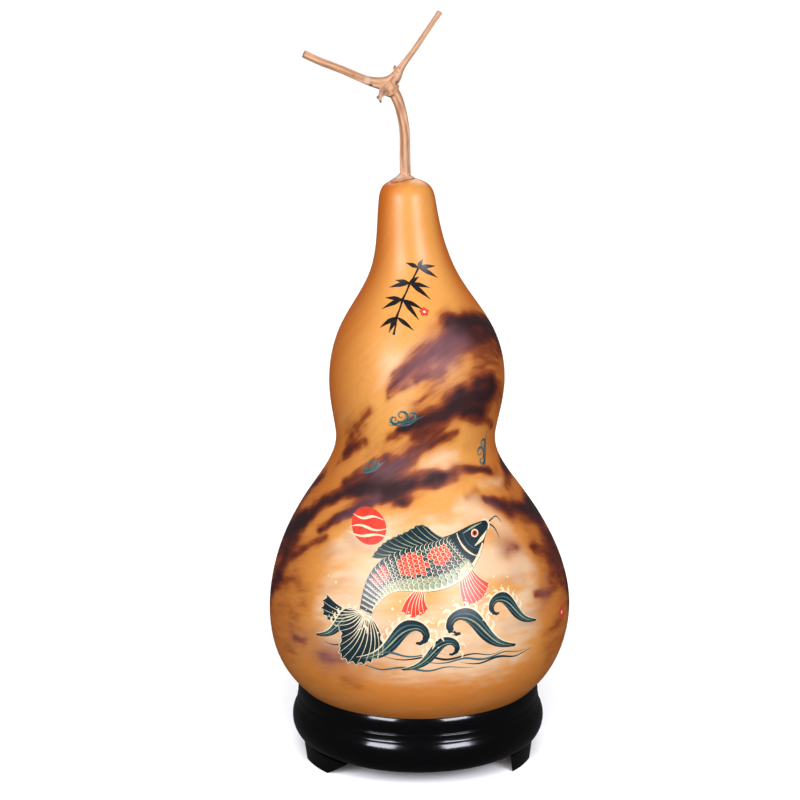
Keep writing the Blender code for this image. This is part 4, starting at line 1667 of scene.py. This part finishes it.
    def knot(self) -> np.ndarray:
        """Gives rings of a ball, stretched to the knot's size and made lumpy by crossed waves.

        Returns:
            A grid of rings of points.
        """
        levels, turns = np.linspace(-1.5, 1.5, 40), np.linspace(0, 2 * np.pi, 60, endpoint=False)
        up, turn = np.meshgrid(levels, turns, indexing="ij")
        ball = np.stack([np.cos(up) * np.cos(turn), np.cos(up) * np.sin(turn), np.sin(up)], axis=-1)
        a, b, c = self.knot_lump_waves
        lump = 1 + self.knot_lumps * np.sin(a * ball[..., 0] + 1) * np.sin(b * ball[..., 1] + 2) * (
            np.sin(c * ball[..., 2])
        )
        return np.asarray(self.knot_centre) + np.asarray(self.knot_size) * lump[..., None] * ball

    def skirt(self, gourd: Gourd) -> np.ndarray:
        """Gives rings of the stalk's flared foot, over the dome of the neck and down into its scar.

        Its height over the dome is the edge plus rise * (1 - share out)^hollow.

        Args:
            gourd: the gourd that it grows from.

        Returns:
            A grid of rings of points.
        """
        turn = np.linspace(0, 2 * np.pi, 72, endpoint=False)
        towards = np.clip(np.cos(turn - self.skirt_widest_at), 0, 1)
        reach = self.skirt_reach + self.skirt_extra_reach * towards**2
        share = np.linspace(0, 1, 14)[:, None]
        out = self.skirt_inner_radius + (reach - self.skirt_inner_radius) * share
        edge = self.skirt_edge * np.sqrt(1 - 0.75 * share**6)
        over = self.skirt_gap + edge + self.skirt_rise * (1 - share) ** self.skirt_hollow
        plug = gourd.scar_radius - self.fit_gap
        under = np.stack([reach, (reach + plug) / 2, np.full(len(turn), plug)])
        distance = np.concatenate([out, under])
        lift = np.concatenate([over + 0 * out, np.full(under.shape, self.skirt_gap)])
        x = gourd.scar_x + distance * np.sin(turn)
        y = -distance * np.cos(turn)
        radius, height = np.moveaxis(gourd.curve(np.linspace(1, 0.93, 200)), -1, 0)
        middle = gourd.middle(np.array([height[0]]))[0]
        z = np.interp(np.hypot(x - middle, y), radius, height) + lift
        sole = np.stack([x[-1], y[-1], np.full(len(turn), z[-1].mean() - gourd.scar_depth)], axis=-1)
        return np.concatenate([np.stack([x, y, z], axis=-1), sole[None]])

    def build(self, gourd: Gourd) -> bpy.types.Object:
        """Fuses the stem's limbs and stores how its grain runs.

        Args:
            gourd: the gourd that it grows from.

        Returns:
            The piece.
        """
        grids = (
            self.rings(self.stalk_path, self.stalk_radii, 40, 0.0007, self.ribs),
            self.rings(self.vine_path, self.vine_radii, 36, 0.0007, self.ribs),
            self.rings(self.tendril_path, self.tendril_radii, 24, 0.0005, self.ribs),
            self.rings(self.hook_path, self.hook_radii, 16, 0.0005, self.ribs),
            self.rings(self.lobe_path, self.lobe_radii, 24, 0.0005, 3),
            self.rings(self.spike_path, self.spike_radii, 16, 0.0005, self.ribs),
            self.knot(),
            self.skirt(gourd),
        )
        points, faces = [], []
        for grid in grids:
            own_points, own_faces = closed_tube(grid)
            start = sum(len(p) for p in points)
            points.append(own_points)
            faces += [[corner + start for corner in face] for face in own_faces]
        piece = add_piece("dried_stem", np.concatenate(points), faces, [DryVine().make()])
        fuse = piece.modifiers.new("fuse", "REMESH")
        fuse.mode = "VOXEL"
        fuse.voxel_size = self.voxel
        fuse.use_smooth_shade = True
        soften = piece.modifiers.new("soften", "SMOOTH")
        soften.factor = self.soften_share
        soften.iterations = self.soften_rounds
        bpy.context.view_layer.update()
        fused = bpy.data.meshes.new_from_object(piece.evaluated_get(bpy.context.evaluated_depsgraph_get()))
        piece.modifiers.clear()
        piece.data = fused
        self.add_grain(piece)
        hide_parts("stem")
        return piece

    def add_grain(self, piece: bpy.types.Object) -> None:
        """Stores, for each point, its place across the nearest limb and its distance along it, drawn out.

        The grain vector is (across, across, distance / grain_draw), so that a noise on it runs along the
        wood. The stains and the pale spots are stored with it.

        Args:
            piece: the stem.
        """
        points = np.empty(len(piece.data.vertices) * 3, np.float32)
        piece.data.vertices.foreach_get("co", points)
        points = points.reshape(-1, 3).astype(float)
        near = np.full(len(points), np.inf)
        grain = np.zeros((len(points), 3))
        furrow_shade = np.zeros(len(points))
        limbs = (
            (self.stalk_path, self.stalk_radii),
            (self.vine_path, self.vine_radii),
            (self.tendril_path, self.tendril_radii),
            (self.spike_path, self.spike_radii),
        )
        for shift, (path, radii) in enumerate(limbs):
            curve, knots = path_spline(path)
            radius = spline(knots, radii)
            where = np.linspace(0, knots[-1], max(8, round(knots[-1] / self.grain_step)))
            centre = curve(where)
            tangent = unit(np.gradient(centre, axis=0))
            other, across = square_axes(tangent)
            for i in range(len(where)):
                offset = points - centre[i]
                distance = np.linalg.norm(offset, axis=1)
                closer = distance < near
                near[closer] = distance[closer]
                here = offset[closer]
                along = where[i] + here @ tangent[i]
                beside = here @ across[i] + shift * self.limb_shift
                grain[closer] = np.stack([here @ other[i], beside, along / self.grain_draw], axis=-1)
                share = distance[closer] / radius(where[i : i + 1])[0, 0]
                # Painted shade in the rib furrows: darker the further a point lies inside the limb's radius.
                furrow_shade[closer] = self.furrow_shade_strength * smooth_step(0.0, self.furrow_shade_depth, 1.0 - share)
        set_attribute(piece, "grain", grain)
        set_attribute(piece, "furrow_shade", furrow_shade)
        for name, spots in (("stain", self.stains), ("pale", self.pale_spots)):
            shade = np.zeros(len(points))
            for x, y, z, reach, strength in spots:
                distance = np.linalg.norm(points - (x, y, z), axis=1)
                spot = strength * (1 - smooth_step(self.spot_core * reach, reach, distance))
                shade = np.maximum(shade, spot)
            set_attribute(piece, name, shade)


@dataclass
class Stand:
    """The turned ring that carries the gourd, and the three bracket feet under it.

    Each foot is its packed name, its azimuths at the floor and at the ring in degrees, and how many
    degrees its inner face is askew.
    """

    lip_radius: float = 0.0802
    lip_round: float = 0.0006
    lip_round_centre: Pair = (0.07810, 0.04860)
    lip_round_from: float = math.radians(85)
    lip_curve: float = 0.0165
    lip_curve_height: float = 0.0419
    lip_lean: float = math.radians(25)
    step_top: float = 0.0386
    step_radius: float = 0.0807
    step_round: float = 0.0009
    moulding_centre: Pair = (0.0744, 0.0244)
    moulding_half_width: float = 0.0096
    moulding_half_height: float = 0.0130
    moulding_start: float = math.radians(47)
    bore_radius: float = 0.0650
    fit_gap: float = 0.0003
    foot_outer_radius: float = 0.0775
    foot_inner_radius: float = 0.0705
    foot_bevel: float = 0.0005
    edge_ease: float = 0.0004
    ring_sharp_edge: float = math.radians(50)
    foot_sharp_edge: float = math.radians(30)
    ring_columns: int = 288
    foot_columns: int = 40
    feet: Sequence[tuple[str, Pair, Pair, float]] = (
        ("foot_left", (-72.0, -50.5), (-79.5, -37.0), 0.0),
        ("foot_right", (52.8, 73.0), (51.2, 82.0), 8.0),
        ("foot_back", (170.0, 191.0), (158.0, 201.0), 0.0),
    )

    def arc(self, centre: Pair, halves: Pair, start: float, end: float, count: int) -> np.ndarray:
        """Gives points along an ellipse, by angles counted up from straight outwards."""
        angle = np.linspace(start, end, count)
        return np.asarray(centre) + np.asarray(halves) * np.stack([np.cos(angle), np.sin(angle)], axis=-1)

    def section(self, gourd: Gourd) -> np.ndarray:
        """Gives the ring's section as (radius, height): down outside, across below and up the seat.

        The seat is the gourd's outline, moved out by the fit gap.

        Args:
            gourd: the gourd that sits in it.

        Returns:
            A closed line of places.
        """
        ease = self.edge_ease
        step_centre = (self.step_radius - self.step_round, self.step_top - self.step_round)
        moulding = (self.moulding_half_width, self.moulding_half_height)
        lip_face = (self.lip_radius - self.lip_curve, self.lip_curve_height)
        start, lean = self.lip_round_from, self.lip_lean
        rounding = self.arc(self.lip_round_centre, (self.lip_round,) * 2, start, lean, 8)
        face = self.arc(lip_face, (self.lip_curve,) * 2, lean, 0, 9)
        lip = np.concatenate([rounding[:-1], face])
        corner = (self.lip_radius + ease, self.step_top + ease)
        cove = self.arc(corner, (ease, ease), math.pi, math.pi * 1.4, 4)
        step = self.arc(step_centre, (self.step_round,) * 2, math.pi / 2, 0, 6)
        half_round = self.arc(self.moulding_centre, moulding, self.moulding_start, -math.pi / 2, 48)
        bottom = half_round[-1, 1]
        underside = np.array([(self.bore_radius + ease, bottom), (self.bore_radius, bottom + ease)])
        radius, height = np.moveaxis(gourd.curve(np.linspace(0, 0.5, 2001)), -1, 0)
        out = unit(np.stack([np.gradient(height), -np.gradient(radius)], axis=-1))
        radius, height = radius + self.fit_gap * out[:, 0], height + self.fit_gap * out[:, 1]
        grows = slice(0, radius.argmax())
        lowest = np.interp(self.bore_radius, radius[grows], height[grows])
        level = np.linspace(lowest, lip[0, 1], 16)[:-1]
        seat = np.stack([np.interp(level, height, radius), level], axis=-1)
        return np.concatenate([lip, cove, step, half_round, underside, seat])

    def ring(self, gourd: Gourd, lacquer: bpy.types.Material) -> bpy.types.Object:
        """Turns the section round the stand's axis.

        Args:
            gourd: the gourd that sits in it.
            lacquer: the finish.

        Returns:
            The piece.
        """
        radius, height = self.section(gourd).T
        turn = np.linspace(0, 2 * np.pi, self.ring_columns, endpoint=False)[:, None]
        grid = np.stack([radius * np.sin(turn), -radius * np.cos(turn), height + 0 * turn], axis=-1)
        rows, columns = grid.shape[:2]
        row, column = np.mgrid[0:rows, 0:columns]
        next_row, after = (row + 1) % rows, (column + 1) % columns
        low, high = row * columns, next_row * columns
        faces = np.stack([low + column, low + after, high + after, high + column], axis=-1).reshape(-1, 4)
        piece = add_piece("turned_ring", grid.reshape(-1, 3), faces.tolist(), [lacquer])
        piece.data.set_sharp_from_angle(angle=self.ring_sharp_edge)
        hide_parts("stand_ring")
        return piece

    def foot(
        self, name: str, at_floor: Pair, at_ring: Pair, askew: float, lacquer: bpy.types.Material
    ) -> bpy.types.Object:
        """Makes a bracket foot: an arc of the stand's circle, wider at the ring than at the floor.

        Args:
            name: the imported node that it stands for.
            at_floor: the azimuths of its ends at the floor, in degrees.
            at_ring: those at the ring.
            askew: how many degrees the inner face starts later.
            lacquer: the finish.

        Returns:
            The piece.
        """
        (floor_first, floor_last), (top_first, top_last) = at_floor, at_ring
        top = self.moulding_centre[1] - self.moulding_half_height - self.fit_gap
        corners = (
            (self.foot_outer_radius, floor_first, floor_last, 0.0),
            (self.foot_outer_radius, top_first, top_last, top),
            (self.foot_inner_radius, top_first + askew, top_last, top),
            (self.foot_inner_radius, floor_first + askew, floor_last, 0.0),
        )
        sections = []
        for radius, first, last, height in corners:
            arc = np.radians(np.linspace(first, last, self.foot_columns + 1))
            level = np.full(len(arc), height)
            sections.append(np.stack([radius * np.sin(arc), -radius * np.cos(arc), level], axis=-1))
        points = np.stack(sections, axis=1).reshape(-1, 3)
        ends = [[3, 2, 1, 0], [len(points) - 4 + i for i in range(4)]]
        faces = closed_columns(self.foot_columns + 1, 4).tolist() + ends
        piece = add_piece(name.replace("foot", "bracket"), points, [face[::-1] for face in faces], [lacquer])
        ease = piece.modifiers.new("eased edges", "BEVEL")
        ease.width = self.foot_bevel
        ease.segments = 3
        ease.limit_method = "ANGLE"
        piece.data.set_sharp_from_angle(angle=self.foot_sharp_edge)
        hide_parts(name)
        return piece

    def build(self, gourd: Gourd) -> None:
        """Makes the ring and its feet.

        Args:
            gourd: the gourd that sits in the ring.
        """
        lacquer = BlackLacquer().make()
        self.ring(gourd, lacquer)
        for name, at_floor, at_ring, askew in self.feet:
            self.foot(name, at_floor, at_ring, askew, lacquer)


@dataclass
class Studio:
    """A pale floor, two wide soft lights in front and a camera like the photograph's."""

    camera_at: tuple[float, float, float] = (-0.0120, -1.4096, 0.5672)
    camera_pitch: float = math.radians(76.9)
    focal_length: float = 100.0
    sensor_width: float = 36.0
    softbox_azimuths: Pair = (math.radians(-34), math.radians(35.5))
    softbox_distance: float = 1.6
    softbox_height: float = 0.78
    softbox_size: Pair = (0.72, 0.58)
    softbox_power: float = 24.5
    softbox_colour: str = "f1f2ff"
    world_strength: float = 0.06
    floor_light_strength: float = 4.2
    floor_light_tilt: float = math.radians(50)
    back_light_strength: float = 1.4
    back_light_tilt: float = math.radians(-50)
    sun_angle: float = math.radians(50)
    aim: tuple[float, float, float] = (0.0, 0.0, 0.22)
    floor_half: float = 20.0

    def camera(self) -> None:
        """Places the camera in front, looking a little down."""
        data = bpy.data.cameras.new("camera")
        data.lens = self.focal_length
        data.sensor_width = self.sensor_width
        data.clip_end = 100.0
        camera = bpy.data.objects.new("camera", data)
        camera.location = self.camera_at
        camera.rotation_euler = (self.camera_pitch, 0.0, 0.0)
        bpy.context.scene.collection.objects.link(camera)
        bpy.context.scene.camera = camera

    def softbox(self, name: str, place: Sequence[float], size: Pair, power: float) -> None:
        """Hangs a rectangular soft light that looks at the gourd.

        Args:
            name: the light's name.
            place: where it hangs, in metres.
            size: its width and height.
            power: its power in watts.
        """
        data = bpy.data.lights.new(name, "AREA")
        data.shape = "RECTANGLE"
        data.size, data.size_y = size
        data.energy = power
        data.color = linear(self.softbox_colour)[:3]
        light = bpy.data.objects.new(name, data)
        light.location = place
        towards = Vector(self.aim) - Vector(place)
        light.rotation_euler = towards.to_track_quat("-Z", "Y").to_euler()
        bpy.context.scene.collection.objects.link(light)

    def sun(self, name: str, strength: float, tilt: float) -> bpy.types.Object:
        """Adds a broad soft sun, tilted from straight above about X.

        Args:
            name: the light's name.
            strength: its strength.
            tilt: its tilt in radians.

        Returns:
            Its object.
        """
        data = bpy.data.lights.new(name, "SUN")
        data.energy = strength
        data.angle = self.sun_angle
        lamp = bpy.data.objects.new(name, data)
        lamp.rotation_euler = (tilt, 0.0, 0.0)
        bpy.context.scene.collection.objects.link(lamp)
        return lamp

    def floor(self) -> None:
        """Lays a wide matt floor at the feet.

        It has a light of its own and throws none back on the gourd, so that it can be as pale as the
        photograph's background and the gourd's sides still go as dark as they do there.
        """
        half = self.floor_half
        corners = [(-half, -half, 0), (half, -half, 0), (half, half, 0), (-half, half, 0)]
        mesh = bpy.data.meshes.new("floor")
        mesh.from_pydata(corners, [], [(0, 1, 2, 3)])
        material, _, _ = new_material("matt_white_paper", Base_Color=linear("f4f4f4"), Roughness=0.9)
        mesh.materials.append(material)
        floor = bpy.data.objects.new("floor", mesh)
        bpy.context.scene.collection.objects.link(floor)
        floor.visible_diffuse = False
        floor.visible_glossy = False
        lit = bpy.data.collections.new("floor_only")
        lit.objects.link(floor)
        sun = self.sun("floor_light", self.floor_light_strength, self.floor_light_tilt)
        sun.light_linking.receiver_collection = lit

    def build(self) -> None:
        """Sets up the view, the floor and the lights."""
        self.camera()
        self.floor()
        for name, azimuth in zip(("softbox_left", "softbox_right"), self.softbox_azimuths, strict=True):
            x = self.softbox_distance * math.sin(azimuth)
            y = -self.softbox_distance * math.cos(azimuth)
            self.softbox(name, (x, y, self.softbox_height), self.softbox_size, self.softbox_power)
        self.sun("back_light", self.back_light_strength, self.back_light_tilt)
        world = bpy.data.worlds.new("studio")
        world.use_nodes = True
        background = world.node_tree.nodes["Background"]
        background.inputs["Color"].default_value = linear("ffffff")
        background.inputs["Strength"].default_value = self.world_strength
        bpy.context.scene.world = world
        bpy.context.scene.view_settings.view_transform = "Standard"


SCROLLS = (
    CloudScroll("cloud_scroll_high", -10.0, 242.0, 12.0, 1.35),
    CloudScroll("cloud_scroll_left", -33.0, 207.5, 28.0, 1.0),
    CloudScroll("cloud_scroll_right", 53.0, 212.0, 74.0, 1.35),
)
BLOSSOMS = (
    Blossom("plum_blossom_neck", 8.0, 305.0, 3.0),
    Blossom("plum_blossom_side", 69.0, 106.0, 4.5),
)


def main() -> None:
    """Builds the object piece by piece."""
    logging.basicConfig(level=logging.INFO, format="%(name)s: %(message)s")
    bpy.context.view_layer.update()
    Studio().build()
    gourd = Gourd()
    gourd.build()
    Carp().paint(gourd)
    Bamboo().paint(gourd)
    for scroll in SCROLLS:
        scroll.paint(gourd)
    for blossom in BLOSSOMS:
        blossom.paint(gourd)
    Stem().build(gourd)
    Stand().build(gourd)


if __name__ == "__main__":
    main()
